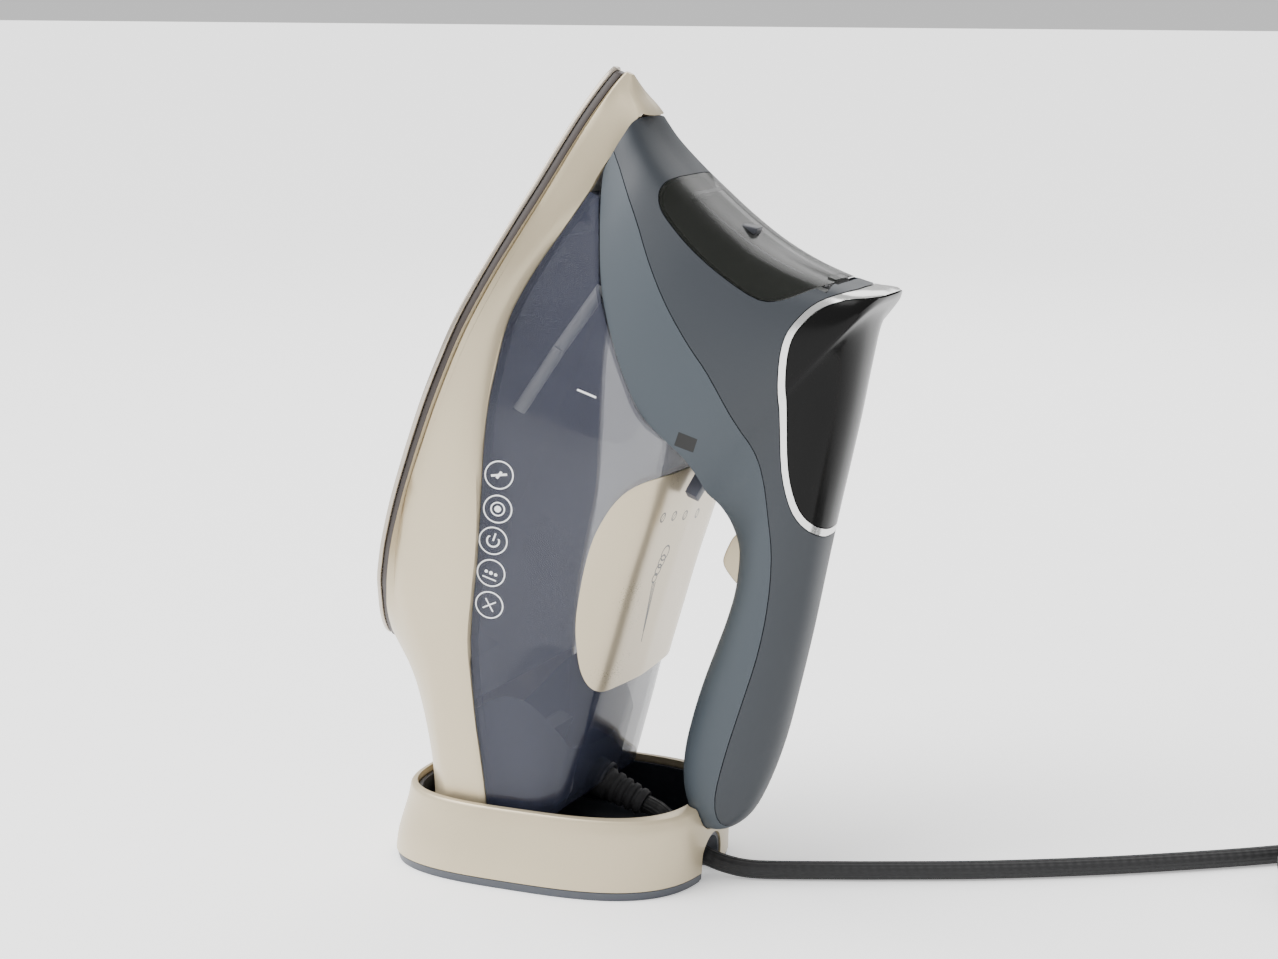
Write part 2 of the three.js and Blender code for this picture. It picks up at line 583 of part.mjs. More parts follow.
function coilRing(grow = 0) {
  const [inner, outer] = [COIL_INNER - grow, COIL_OUTER + grow];
  const profile = [[inner, 0], [outer, 0], [outer, COIL_HEIGHT], [inner, COIL_HEIGHT], [inner, 0]];
  const lathe = new THREE.LatheGeometry(profile.map(([r, z]) => new THREE.Vector2(r, z)), 32);
  return solid(lathe.rotateX(Math.PI / 2).translate(COIL_PLACE.x, COIL_PLACE.y, 0));
}

function lead() {
  return tube(LEAD, CORD_DIAMETER / 2, 10, 30).subtract(coilRing(GAP));
}

function leadTail() {
  const x = PLUG_PLACE.x;
  return rod(at(x, COIL_PLACE.y + 6, 10.7), at(x, PLUG_PLACE.y + 34.5, 10.7), CORD_DIAMETER / 2, 10)
    .subtract(coilRing(GAP));
}

function plugBody() {
  const { x, y } = PLUG_PLACE;
  const outline = [
    [-24, -25], [24, -25], [25.5, -22], [25.5, 6], [22, 17], [14, 24], [6, 26], [-6, 26], [-14, 24],
    [-22, 17], [-25.5, 6], [-25.5, -22],
  ].map(([px, py]) => [x + px, y + py]);
  const collar = rod(at(x, y + 25, 10.7), at(x, y + 34.2, 10.7), 6.2, 16, 4.6);
  return plate(outline, 0, 20).add(plate(grown(outline, -2.5), 0, 23)).add(collar);
}

const PINS = [
  ["plug_pin_earth", 0, -15.5, 3.97, 7.95, 22.7], ["plug_pin_live", 11.1, 6.7, 6.35, 3.97, 17.7],
  ["plug_pin_neutral", -11.1, 6.7, 6.35, 3.97, 17.7],
];

// ---- assembly ----
const iron = new THREE.Group();
iron.matrixAutoUpdate = false;
iron.matrix.copy(ironPlace);
const foot = new THREE.Group();
foot.matrixAutoUpdate = false;
foot.matrix.copy(footPlace);
const whole = new THREE.Group();
whole.add(iron);
iron.add(foot);

function put(group, name, body3d, finish) {
  const material = new THREE.MeshStandardMaterial(FINISH[finish]);
  const mesh = new THREE.Mesh(shape(body3d), material);
  mesh.name = name;
  group.add(mesh);
}

put(foot, "soleplate", soleplate(), "sole");
put(foot, "sole_band", soleBand(), "band");
put(iron, "skirt", skirt(), "champagne");
put(iron, "water_tank", tank(), "smokyBlue");
put(iron, "heel_housing", heelHousing(), "dark");
put(iron, "deck_plate", deckPlate(), "champagne");
put(iron, "handle_grip", gripShell(), "grip");
put(iron, "handle_cover", coverShell(), "slate");
put(iron, "display_bezel", bezel(), "silver");
put(iron, "display_window", displayWindow(), "gloss");
put(iron, "display_board", block([146, -12, 112], [196, 12, 113.6]), "board");
put(iron, "fill_lid", fillLid(), "smokedClear");
put(iron, "fill_lid_pin", rod(at(LID_HINGE[0], -10, LID_HINGE[1]), at(LID_HINGE[0], 10, LID_HINGE[1]), 1.2), "steel");
put(iron, "fill_funnel", fillFunnel(), "white");
put(foot, "heater_casting", heaterCasting(), "casting");
put(foot, "heating_element", tube(elementPath(), 2.35, 6, 30), "steel");
put(foot, "steam_chamber_cover", chamberCover(), "casting");
put(foot, "thermostat", thermostat(), "white");
put(foot, "thermal_fuse", rod(at(30, -9, 11.8), at(30, 9, 11.8), 1.9), "steel");
put(iron, "terminal_block", block([-11, -12, 19], [8, 12, 29]), "white");
put(iron, "trigger", trigger(), "champagne");
put(iron, "trigger_pin", rod(at(98.5, -10, 116.5), at(98.5, 10, 116.5), 1.4), "steel");
put(iron, "pump_body", pump(), "white");
put(iron, "pump_plunger", rod(at(102.6, 0, 123.3), at(122, 0, 122.9), 2.5), "brass");
put(iron, "steam_lever", steamLever(), "grip");
put(iron, "valve_body", valveBody(), "dark");
put(iron, "steam_needle", rod(at(131, 0, 76), at(131, 0, 86.2), 1.6), "brass");
put(iron, "cord_guard", cordGuard(), "black");
put(iron, "cord_clamp", cordClamp(), "dark");
put(whole, "stand_shell", standShell(), "champagne");
put(whole, "stand_liner", standLiner(), "dark");
put(whole, "stand_base", standBase(), "slate");
put(whole, "stand_arch_lining", archLining(), "slate");
FEET.forEach(([x, y], i) => put(whole, `stand_foot_${i + 1}`, rod(at(x, y, 0), at(x, y, 1.3), 6), "rubber"));
STAND_SCREWS.forEach(([x, y], i) => put(whole, `stand_screw_${i + 1}`, rod(at(x, y, 0.6), at(x, y, 3), 3), "steel"));
put(whole, "mains_lead", lead(), "black");
put(whole, "mains_lead_coil", coilRing(), "black");
put(whole, "mains_lead_tail", leadTail(), "black");
put(whole, "plug_body", plugBody(), "black");
for (const [name, dx, dy, width, depth, height] of PINS) {
  const [x, y] = [PLUG_PLACE.x + dx, PLUG_PLACE.y + dy];
  put(whole, name, block([x - width / 2, y - depth / 2, 23 + GAP],
    [x + width / 2, y + depth / 2, 23 + height]), "brass");
}

export default whole;
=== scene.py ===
"""A steam iron parked nose-up in its oval stand, with its mains lead, coil and plug.

The iron's own frame runs u from heel to tip, v across to the near side and w from the
sole upwards. Tables are in millimetres of that frame, and meshes are made in metres.
"""
import logging
import math
from dataclasses import dataclass
from enum import Enum
from functools import cache
from typing import Callable, Iterable, Sequence

import bmesh
import bpy
from mathutils import Matrix, Vector


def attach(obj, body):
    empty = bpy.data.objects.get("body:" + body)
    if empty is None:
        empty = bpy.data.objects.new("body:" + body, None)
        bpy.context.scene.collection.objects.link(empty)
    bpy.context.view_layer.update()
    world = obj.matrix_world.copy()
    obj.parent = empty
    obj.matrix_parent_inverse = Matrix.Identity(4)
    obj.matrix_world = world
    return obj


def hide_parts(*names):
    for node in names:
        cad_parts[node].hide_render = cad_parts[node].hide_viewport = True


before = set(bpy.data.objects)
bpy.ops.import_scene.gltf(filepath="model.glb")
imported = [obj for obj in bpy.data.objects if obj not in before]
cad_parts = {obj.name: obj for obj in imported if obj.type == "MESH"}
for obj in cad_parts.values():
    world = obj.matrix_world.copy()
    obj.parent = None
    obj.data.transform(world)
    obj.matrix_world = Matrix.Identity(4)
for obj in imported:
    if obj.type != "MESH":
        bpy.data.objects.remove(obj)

log = logging.getLogger("iron")
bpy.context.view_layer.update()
MM = 0.001
GAP = 0.35
WALL = 2.2
HALF_SPAN = 80
TILT = math.radians(21)
SOLE_DIP = math.radians(2)
HEEL_PLACE = Vector((-60.3, 0, 79.7))
SOLE_LENGTH = 236
BIG = 260
STAND_BASE = 3.2
STAND_RIM = 30
GUARD_U = -17
CORD_DIAMETER = 7
LID_HINGE = (196.4, 107)
Obj = bpy.types.Object
Point = Sequence[float]
Rows = Sequence[Sequence[float]]
Place = Callable[[Sequence[float]], Vector]
U_AXIS = Vector((math.sin(TILT), 0, math.cos(TILT)))
W_AXIS = Vector((math.cos(TILT), 0, -math.sin(TILT)))


# ---- places ----
def parked(p: Point) -> Vector:
    """Turns a point of the iron's frame into the row frame, in metres."""
    u, v, w = p
    return (HEEL_PLACE + U_AXIS * u + Vector((0, -v, 0)) + W_AXIS * w) * MM


def dipped(p: Point) -> Vector:
    """Turns a point of the sole's frame, dipped about the tip, into the row frame."""
    x, y, z = p
    c, s = math.cos(SOLE_DIP), math.sin(SOLE_DIP)
    return parked((x * c - z * s + SOLE_LENGTH * (1 - c), y, x * s + z * c - SOLE_LENGTH * s))


def standing(p: Point) -> Vector:
    """Turns a point of the stand, in millimetres, into the row frame."""
    return Vector(p) * MM


# ---- lines ----
def flow(rows: Rows, steps: int, closed: bool = False) -> list[list[float]]:
    """Draws a smooth line of points through the rows.

    Args:
        rows: the points it passes through.
        steps: new points for each interval.
        closed: whether the last point runs on to the first.

    Returns:
        The rows of the smooth line.
    """
    out, n = [], len(rows)
    for i in range(n if closed else n - 1):
        ids = [(i + k) % n if closed else min(max(i + k, 0), n - 1) for k in (-1, 0, 1, 2)]
        p0, p1, p2, p3 = (rows[k] for k in ids)
        for s in range(steps):
            t = s / steps
            out.append([0.5 * (2 * b + (c - a) * t + (2 * a - 5 * b + 4 * c - d) * t * t
                               + (3 * b - a - 3 * c + d) * t ** 3)
                        for a, b, c, d in zip(p0, p1, p2, p3)])
    if not closed:
        out.append(list(rows[-1]))
    return out


def shifted(line: Rows, d: float) -> list[list[float]]:
    """Moves an open line sideways by d, to its left when d is positive."""
    out = []
    for i, (x, y) in enumerate(line):
        (x0, y0), (x1, y1) = line[max(i - 1, 0)], line[min(i + 1, len(line) - 1)]
        length = math.hypot(x1 - x0, y1 - y0)
        out.append([x - d * (y1 - y0) / length, y + d * (x1 - x0) / length])
    return out


def grown(outline: Rows, d: float) -> list[list[float]]:
    """Moves a closed outline outwards by d, or inwards when d is negative."""
    n = len(outline)
    area = sum(outline[i - 1][0] * outline[i][1] - outline[i][0] * outline[i - 1][1]
               for i in range(n))
    side, out = math.copysign(1, area), []
    for i, (x, y) in enumerate(outline):
        (x0, y0), (x1, y1) = outline[i - 1], outline[(i + 1) % n]
        a, b = Vector((x - x0, y - y0)).normalized(), Vector((x1 - x, y1 - y)).normalized()
        normal = Vector((a.y + b.y, -a.x - b.x)).normalized()
        stretch = max(0.4, normal.x * b.y - normal.y * b.x)
        out.append([x + side * d * normal.x / stretch, y + side * d * normal.y / stretch])
    return out


# ---- mesh making ----
class Join(Enum):
    """How a tool body meets the body it is applied to."""

    ADD = "UNION"
    CUT = "DIFFERENCE"
    KEEP = "INTERSECT"


def rest_all() -> None:
    """Deselects everything."""
    for other in bpy.context.selected_objects:
        other.select_set(False)


def take(obj: Obj) -> Obj:
    """Makes a piece the only selected and active one."""
    rest_all()
    obj.select_set(True)
    bpy.context.view_layer.objects.active = obj
    return obj


def mesh_piece(name: str, points: Iterable[Point], faces: Iterable[Sequence[int]]) -> Obj:
    """Makes an object from points and faces, with its faces turned outwards."""
    mesh = bpy.data.meshes.new(name)
    mesh.from_pydata([tuple(p) for p in points], [], [tuple(f) for f in faces])
    shape = bmesh.new()
    shape.from_mesh(mesh)
    bmesh.ops.remove_doubles(shape, verts=shape.verts, dist=1e-7)
    bmesh.ops.recalc_face_normals(shape, faces=shape.faces)
    shape.to_mesh(mesh)
    shape.free()
    obj = bpy.data.objects.new(name, mesh)
    bpy.context.scene.collection.objects.link(obj)
    return obj


def loft(name: str, rings: Sequence[Sequence[Point]], place: Place) -> Obj:
    """Makes a closed skin over rings that all hold the same number of points.

    Args:
        name: the piece's name.
        rings: closed rings of points, one after another.
        place: turns a point into the row frame.

    Returns:
        The new object.
    """
    count = len(rings[0])
    points = [place(p) for ring in rings for p in ring]
    faces = []
    for i in range(len(rings) - 1):
        for j in range(count):
            a, b = i * count + j, i * count + (j + 1) % count
            faces.append((a, b, b + count, a + count))
    for start in (0, (len(rings) - 1) * count):
        points.append(sum((points[start + j] for j in range(count)), Vector()) / count)
        faces += [(start + j, start + (j + 1) % count, len(points) - 1) for j in range(count)]
    return mesh_piece(name, points, faces)


def prism(name: str, outline: Rows, half: float = HALF_SPAN) -> Obj:
    """Pushes a side-view outline [u, w] through the iron, half a width to each side."""
    n = len(outline)
    points = [parked((u, side * half, w)) for side in (-1, 1) for u, w in outline]
    faces = [tuple(range(n)), tuple(range(n, 2 * n))]
    faces += [(i, (i + 1) % n, n + (i + 1) % n, n + i) for i in range(n)]
    return mesh_piece(name, points, faces)


def plate(name: str, outline: Rows, low: float, high: float, place: Place) -> Obj:
    """Pushes a plan-view outline [x, y] up from low to high."""
    n = len(outline)
    points = [place((x, y, z)) for z in (low, high) for x, y in outline]
    faces = [tuple(range(n)), tuple(range(n, 2 * n))]
    faces += [(i, (i + 1) % n, n + (i + 1) % n, n + i) for i in range(n)]
    return mesh_piece(name, points, faces)


def rod(name: str, start: Vector, end: Vector, radius: float, sides: int = 32) -> Obj:
    """Makes a round bar between two places of the row frame; its radius is in millimetres."""
    rest_all()
    bpy.ops.mesh.primitive_cone_add(vertices=sides, radius1=radius * MM, radius2=radius * MM,
                                    depth=(end - start).length)
    obj = bpy.context.active_object
    obj.name = name
    turn = Vector((0, 0, 1)).rotation_difference((end - start).normalized()).to_matrix().to_4x4()
    obj.data.transform(Matrix.Translation((start + end) / 2) @ turn)
    obj.matrix_world = Matrix.Identity(4)
    return obj


def bored(name: str, profile: Rows, start: Vector, axis: Vector, sides: int = 48) -> Obj:
    """Turns a profile [radius, height], in millimetres, about an axis."""
    turn = Vector((0, 0, 1)).rotation_difference(axis).to_matrix()
    rings = [[(r * math.cos(2 * math.pi * k / sides), r * math.sin(2 * math.pi * k / sides), h)
              for k in range(sides)] for r, h in profile]
    return loft(name, rings, lambda p: start + turn @ (Vector(p) * MM))


def meet(obj: Obj, how: Join, *tools: Obj, keep: bool = False) -> Obj:
    """Joins, cuts or keeps a body with tool bodies, which are used up unless kept."""
    for tool in tools:
        step = obj.modifiers.new("meet", "BOOLEAN")
        step.operation, step.solver, step.object = how.value, "EXACT", tool
        take(obj)
        bpy.ops.object.modifier_apply(modifier=step.name)
        if not keep:
            bpy.data.objects.remove(tool)
    return obj


def twin(obj: Obj, name: str) -> Obj:
    """Copies a body with a mesh of its own."""
    copy = obj.copy()
    copy.data = obj.data.copy()
    copy.name = name
    bpy.context.scene.collection.objects.link(copy)
    return copy


def smooth(obj: Obj, angle: float = 32) -> Obj:
    """Shades a piece smooth except across edges sharper than the angle."""
    take(obj)
    bpy.ops.object.shade_smooth_by_angle(angle=math.radians(angle))
    return obj


def eased(obj: Obj, width: float, segments: int = 3, angle: float = 35) -> Obj:
    """Rounds the sharp edges of a piece by a width in millimetres."""
    step = obj.modifiers.new("ease", "BEVEL")
    step.width, step.segments, step.limit_method = width * MM, segments, "ANGLE"
    step.angle_limit = math.radians(angle)
    take(obj)
    bpy.ops.object.modifier_apply(modifier=step.name)
    return smooth(obj, 40)


def level(obj: Obj) -> Obj:
    """Shades large flat faces evenly, right up to their rounded edges."""
    step = obj.modifiers.new("level", "WEIGHTED_NORMAL")
    step.keep_sharp, step.weight = True, 100
    take(obj)
    bpy.ops.object.modifier_apply(modifier=step.name)
    return obj


# ---- materials ----
class Signal:
    """A number that varies over a surface, with the sums that are done on it."""

    def __init__(self, bench: "Bench", socket: bpy.types.NodeSocket) -> None:
        """Holds the socket and the bench whose tree it is in."""
        self.bench, self.socket = bench, socket

    def math(self, operation: str, *others: "Signal | float", flip: bool = False) -> "Signal":
        """Adds one Math node on this signal and the others."""
        terms = [self, *others]
        if flip:
            terms.reverse()
        made = self.bench.node("Math", {"operation": operation}, dict(enumerate(terms)))
        return Signal(self.bench, made.outputs[0])

    def __add__(self, other): return self.math("ADD", other)
    def __radd__(self, other): return self.math("ADD", other)
    def __sub__(self, other): return self.math("SUBTRACT", other)
    def __rsub__(self, other): return self.math("SUBTRACT", other, flip=True)
    def __mul__(self, other): return self.math("MULTIPLY", other)
    def __rmul__(self, other): return self.math("MULTIPLY", other)
    def __abs__(self): return self.math("ABSOLUTE")
    def __pow__(self, other): return self.math("POWER", other)
    def __lt__(self, other): return self.math("LESS_THAN", other)
    def __gt__(self, other): return self.math("GREATER_THAN", other)


class Bench:
    """The node tree of one material."""

    def __init__(self, name: str) -> None:
        """Makes an empty material with a principled shader."""
        self.material = bpy.data.materials.new(name)
        self.material.use_nodes = True
        self.tree = self.material.node_tree
        self.shader = self.tree.nodes["Principled BSDF"]
        self.place = self.node("TexCoord", {}, {}).outputs["Object"]

    def node(self, kind: str, settings: dict, inputs: dict) -> bpy.types.Node:
        """Adds a node, sets it up and fills or links its sockets.

        Args:
            kind: the node type, without its ShaderNode prefix.
            settings: properties that are set first.
            inputs: socket name or number to value, socket or Signal.

        Returns:
            The new node.
        """
        made = self.tree.nodes.new("ShaderNode" + kind)
        for key, value in settings.items():
            setattr(made, key, value)
        for key, value in inputs.items():
            self.feed(made.inputs[key], value)
        return made

    def feed(self, socket: bpy.types.NodeSocket, value: object) -> None:
        """Sets a socket's value, or links it to a socket or Signal."""
        if isinstance(value, Signal):
            self.tree.links.new(value.socket, socket)
        elif isinstance(value, bpy.types.NodeSocket):
            self.tree.links.new(value, socket)
        else:
            socket.default_value = value

    def noise(self, scale: float, detail: float = 3) -> Signal:
        """Soft random variation, with its scale per metre."""
        made = self.node("TexNoise", {}, {"Vector": self.place, "Scale": scale, "Detail": detail})
        return Signal(self, made.outputs[0])

    def along(self, axis: Vector, start: float) -> Signal:
        """Distance in millimetres along an axis of the row frame, less a start."""
        made = self.node("VectorMath", {"operation": "DOT_PRODUCT"},
                         {0: self.place, 1: tuple(axis)})
        return (Signal(self, made.outputs["Value"]) - start) * 1000

    def tint(self, mask: Signal | float, dark: Point, light: Point) -> bpy.types.NodeSocket:
        """Mixes two colours by a mask."""
        made = self.node("Mix", {"data_type": "RGBA"}, {0: mask})
        self.feed(made.inputs[6], dark if isinstance(dark, bpy.types.NodeSocket) else (*dark, 1))
        self.feed(made.inputs[7], (*light, 1))
        return made.outputs[2]

    def relief(self, height: Signal, strength: float, distance: float) -> None:
        """Raises the surface's shading by a height signal; distance in millimetres."""
        made = self.node("Bump", {}, {"Height": height, "Strength": strength,
                                      "Distance": distance * MM})
        self.feed(self.shader.inputs["Normal"], made.outputs[0])

    def set(self, **values: object) -> None:
        """Feeds the shader's sockets, named with underscores for spaces."""
        for key, value in values.items():
            self.feed(self.shader.inputs[key.replace("_", " ")], value)


def iron_axes(bench: Bench) -> tuple[Signal, Signal, Signal]:
    """Gives u, v and w of the iron's frame over a surface, in millimetres."""
    origin = HEEL_PLACE * MM
    return (bench.along(U_AXIS, origin.dot(U_AXIS)), bench.along(Vector((0, -1, 0)), 0),
            bench.along(W_AXIS, origin.dot(W_AXIS)))


def spread(x: Signal, y: Signal) -> Signal:
    """Length of the vector x, y."""
    return (x * x + y * y) ** 0.5


@dataclass(frozen=True)
class Moulding:
    """Moulded or painted finish with fine grain and slight unevenness."""

    name: str
    color: tuple[float, float, float]
    roughness: float = 0.5
    metallic: float = 0.0
    coat: float = 0.0
    grain: float = 1600
    depth: float = 0.02
    flake: float = 0.05
    alpha: float = 1.0
    specular: float = 0.5
    glow: float = 0.0
    marks: Callable[[Bench], Signal] | None = None
    ink_and_shade: tuple[float, float, float] = (0.85, 0.86, 0.86)

    def build(self) -> bpy.types.Material:
        """Makes the material."""
        bench = Bench(self.name)
        broad, fine = bench.noise(35), bench.noise(self.grain, 2)
        vary = (broad - 0.5) * 1.2 + (fine - 0.5) * 0.8
        dark = tuple(c * (1 - self.flake) for c in self.color)
        light = tuple(min(1, c * (1 + self.flake)) for c in self.color)
        color = bench.tint(vary + 0.5, dark, light)
        alpha: Signal | float = self.alpha
        # The marks' colour is print on the tank and deck plate, a dark inner track on the lid, and painted
        # shade on the grip.
        if self.marks:
            mask = self.marks(bench)
            color = bench.tint(mask, color, self.ink_and_shade)
            if self.alpha < 1:
                alpha = mask * (1 - self.alpha) + self.alpha
        rough = (broad - 0.5) * 0.12 + (fine - 0.5) * 0.08 + self.roughness
        bench.set(Base_Color=color, Roughness=rough,
                  Metallic=self.metallic, Coat_Weight=self.coat, Alpha=alpha,
                  Specular_IOR_Level=self.specular, Emission_Strength=self.glow)
        if self.glow:
            bench.set(Emission_Color=color)
        bench.relief(fine, 0.35, self.depth)
        return bench.material


@dataclass(frozen=True)
class Braid:
    """Woven sleeve of a mains lead, following the lead's own map."""

    name: str = "Braided sleeve"
    color: tuple[float, float, float] = (0.004, 0.004, 0.0045)

    def build(self) -> bpy.types.Material:
        """Makes the material, with strands crossing both ways."""
        bench = Bench(self.name)
        parts = bench.node("SeparateXYZ", {}, {0: bench.node("UVMap", {}, {}).outputs[0]})
        round_, run = Signal(bench, parts.outputs[0]), Signal(bench, parts.outputs[1])
        right = (round_ * 8 + run).math("MULTIPLY", 2 * math.pi).math("SINE")
        left = (round_ * 8 - run).math("MULTIPLY", 2 * math.pi).math("SINE")
        weave = right * left * 0.5 + 0.5
        bench.set(Base_Color=bench.tint(weave, self.color, (0.014, 0.014, 0.015)),
                  Roughness=weave * 0.15 + 0.6)
        bench.relief(weave, 0.9, 0.35)
        return bench.material


def tank_marks(bench: Bench) -> Signal:
    """Level mark and a row of plain ringed signs along the tank's near lower edge."""
    u, v, w = iron_axes(bench)
    near = v > 20
    total = (abs(w - 47.4) < 3.6) * (abs(u - 133) < 0.35)
    signs = (
        lambda x, y, r: (abs(x - y * 0.5) < 0.45) * (r < 2.9)
        + (abs(y - x * 0.3) < 0.5) * (r < 1.5),
        lambda x, y, r: (r < 1.2) + (abs(r - 2.4) < 0.25),
        lambda x, y, r: (abs(r - 2.2) < 0.3) * (x < 1.4) + (abs(y) < 0.3) * (x > 0) * (x < 3),
        lambda x, y, r: (spread(x, abs(y) - 1.8) < 0.6) + (r < 0.7)
        + (abs(x + 2.2) < 0.25) * (abs(y) < 2.6),
        lambda x, y, r: ((abs(x - y) < 0.35) + (abs(x + y) < 0.35)) * (r < 2.8),
    )
    centres = ((93.8, 29.6), (81.9, 33.4), (70.1, 35.7), (58.2, 38.7), (46.2, 41.7))
    for sign, (cu, cw) in zip(signs, centres):
        x, y = u - cu, w - cw
        far = spread(x, y)
        total = total + (abs(far - 5) < 0.25) + sign(x, y, far)
    return total.math("MINIMUM", 1) * near


def slot_shade_marks(bench: Bench) -> Signal:
    """Painted shade for the slot that the steam lever comes out of, drawn as a dark patch on the grip."""
    u, v, w = iron_axes(bench)
    return (abs(u - 130.1) < 2.7) * (w > 82) * (w < 88.9) * (v > 15)


def lid_marks(bench: Bench) -> Signal:
    """Dark inner track that shows through the lid."""
    u, v, w = iron_axes(bench)
    rail = (abs(abs(v) - 13) < 0.8) * (w > 50) * (w < 98)
    return (rail + (abs(w - 50) < 0.7) * (abs(v) < 13)).math("MINIMUM", 1)


def deck_marks(bench: Bench) -> Signal:
    """Steam plume and small setting signs printed on the oval plate."""
    u, v, _ = iron_axes(bench)
    total: Signal | float = 0
    for k in range(4):
        x, y = u - (72.0 + 3.2 * k), v - (14.6 - 0.9 * k)
        total = total + (abs(spread(x, y) - (1.7 + 0.4 * k)) < 0.35)
    line = v - 9.4 - (u - 44.9) * 0.18
    for off in (-1.5, 0, 1.5):
        ray = abs(line - off * ((u - 44) * 0.03)) < 0.3
        total = total + ray * (u > 45 + abs(off) * 3) * (u < 70)
    for cu, cv in ((98.1, 24.4), (96.9, 14.3), (95.3, 4), (93.3, -9.3)):
        x, y = u - cu, v - cv
        total = total + (abs(spread(x, y) - 1.7) < 0.3) + (abs(x + y) < 0.3) * (spread(x, y) < 1.7)
    return total.math("MINIMUM", 1)


CHAMPAGNE = Moulding("Champagne moulding", (0.52, 0.44, 0.30), 0.36, 0.4, 0.1,
                     grain=2600, flake=0.045)
DECK = Moulding("Champagne deck plate", (0.50, 0.425, 0.30), 0.3, 0.6, 0.1, grain=2600,
                marks=deck_marks, ink_and_shade=(0.02, 0.018, 0.016))
# The grip's near-black marks are painted shade, standing in for the steam lever's slot.
SOFT_GRIP = Moulding("Blue-grey soft grip", (0.036, 0.047, 0.058), 0.6, grain=2200, depth=0.04,
                     marks=slot_shade_marks, ink_and_shade=(0.002, 0.002, 0.002))
LEVER = Moulding("Grey lever", (0.075, 0.08, 0.105), 0.5)
SLATE = Moulding("Slate cover", (0.022, 0.0265, 0.033), 0.5, specular=0.4, grain=2200, depth=0.02)
TANK = Moulding("Smoky blue tank", (0.034, 0.038, 0.062), 0.12,
                grain=60, depth=0.001, flake=0.1, alpha=0.6)
INNER_TANK = Moulding("Smoky blue tank, inner face", TANK.color, 0.2,
                      grain=60, depth=0.001, alpha=0.12)
PRINTED_TANK = Moulding("Smoky blue tank with print", TANK.color, 0.12,
                        grain=60, depth=0.001, flake=0.1, alpha=0.6, marks=tank_marks)
SMOKED = Moulding("Smoked clear lid", (0.012, 0.013, 0.011), 0.16,
                  grain=60, depth=0.001, alpha=0.72, specular=0.12,
                  marks=lid_marks, ink_and_shade=(0.003, 0.003, 0.003))
GLASS_BLACK = Moulding("Black display glass", (0.004, 0.004, 0.004), 0.22, grain=60, depth=0.001,
                       specular=0.12)
TRIM = Moulding("Bright trim", (0.72, 0.72, 0.71), 0.18, 0.95, grain=900, depth=0.003, flake=0.02)
DARK = Moulding("Dark moulding", (0.022, 0.024, 0.032), 0.42, grain=1600)
BAND = Moulding("Heat shield", (0.035, 0.026, 0.023), 0.5, grain=1800)
SOLE = Moulding("Glazed sole", (0.42, 0.37, 0.31), 0.26, 0.75, 0.2, grain=1200, depth=0.006)
CASTING = Moulding("Cast aluminium", (0.42, 0.42, 0.43), 0.5, 0.85,
                   grain=700, depth=0.08, flake=0.1)
STEEL = Moulding("Turned steel", (0.55, 0.55, 0.56), 0.28, 1.0, grain=1400, flake=0.05)
BRASS = Moulding("Brass", (0.62, 0.45, 0.19), 0.28, 1.0, grain=1100, flake=0.06)
BOARD = Moulding("Circuit board", (0.02, 0.09, 0.04), 0.45, grain=900, flake=0.2)
WHITE = Moulding("White moulding", (0.62, 0.63, 0.62), 0.45, grain=1500)
BLACK = Moulding("Black moulding", (0.014, 0.014, 0.016), 0.45, grain=1500, depth=0.05)
RUBBER = Moulding("Rubber", (0.03, 0.03, 0.032), 0.75, grain=1900, depth=0.06)
STAND_FOOT = Moulding("Slate stand base", (0.05, 0.056, 0.07), 0.45, grain=1800)
FLOOR = Moulding("Pale floor", (0.93, 0.93, 0.93), 0.85, grain=40, depth=0.01, flake=0.01,
                 glow=0.45)


@cache
def material_of(finish: Moulding | Braid) -> bpy.types.Material:
    """Makes each finish's material once."""
    return finish.build()


def dress(obj: Obj, finish: Moulding | Braid) -> Obj:
    """Gives every face of a piece one finish."""
    if obj.material_slots:
        for spot in obj.material_slots:
            spot.material = material_of(finish)
    else:
        obj.data.materials.append(material_of(finish))
    return obj


def fit(obj: Obj, finish: Moulding | Braid, body: str, slot: str, *nodes: str) -> Obj:
    """Dresses a piece, rides it on its body and hides the nodes that it stands for."""
    dress(obj, finish)
    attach(obj, body)
    if nodes:
        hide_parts(*nodes)
    log.info("%s: %d faces", obj.name, len(obj.data.polygons))
    return obj


# ---- the iron's two master bodies ----
HOOD_SECTION = (
    (0, 0), (0, .3), (.02, .55), (.06, .69), (.13, .79), (.25, .87), (.45, .935), (.75, .985), (1, 1),
)
HOOD = (
    (225, 18.8, 206, 16.6, 19.8, 0), (219, 26.5, 196, 21.3, 24.5, 0), (213.5, 36.5, 182, 29.2, 30.5, 0),
    (208.5, 49, 167, 37.6, 34.3, 0), (204, 62, 153, 48.5, 36.6, 0), (200.5, 76, 141.5, 58.8, 37, 0),
    (198.8, 90, 133, 68, 36, 0), (198.8, 104, 128, 78, 34, 0), (200, 116, 124, 86.5, 31.5, 0),
    (202.5, 127, 118, 92, 28, .1), (192, 124.8, 112, 95.5, 25.5, .3), (178, 127.3, 107, 100, 22.5, .6),
    (158, 131.2, 101, 105.5, 20.5, .8), (139, 134.3, 92, 110.5, 19, 1), (120, 137.2, 79, 114, 18, 1),
    (100, 140.6, 67, 115, 17.3, 1), (75, 144.9, 55, 115, 17, 1), (52, 148.2, 42, 115, 17, 1),
    (32, 150.6, 28, 115.8, 17, 1), (14, 151, 14, 117.7, 16.5, 1), (0, 149.3, 3, 121.5, 15.3, 1),
    (-8, 144.5, -4.5, 126.5, 12, 1), (-11.5, 137.8, -9.5, 130.5, 7, 1),
)
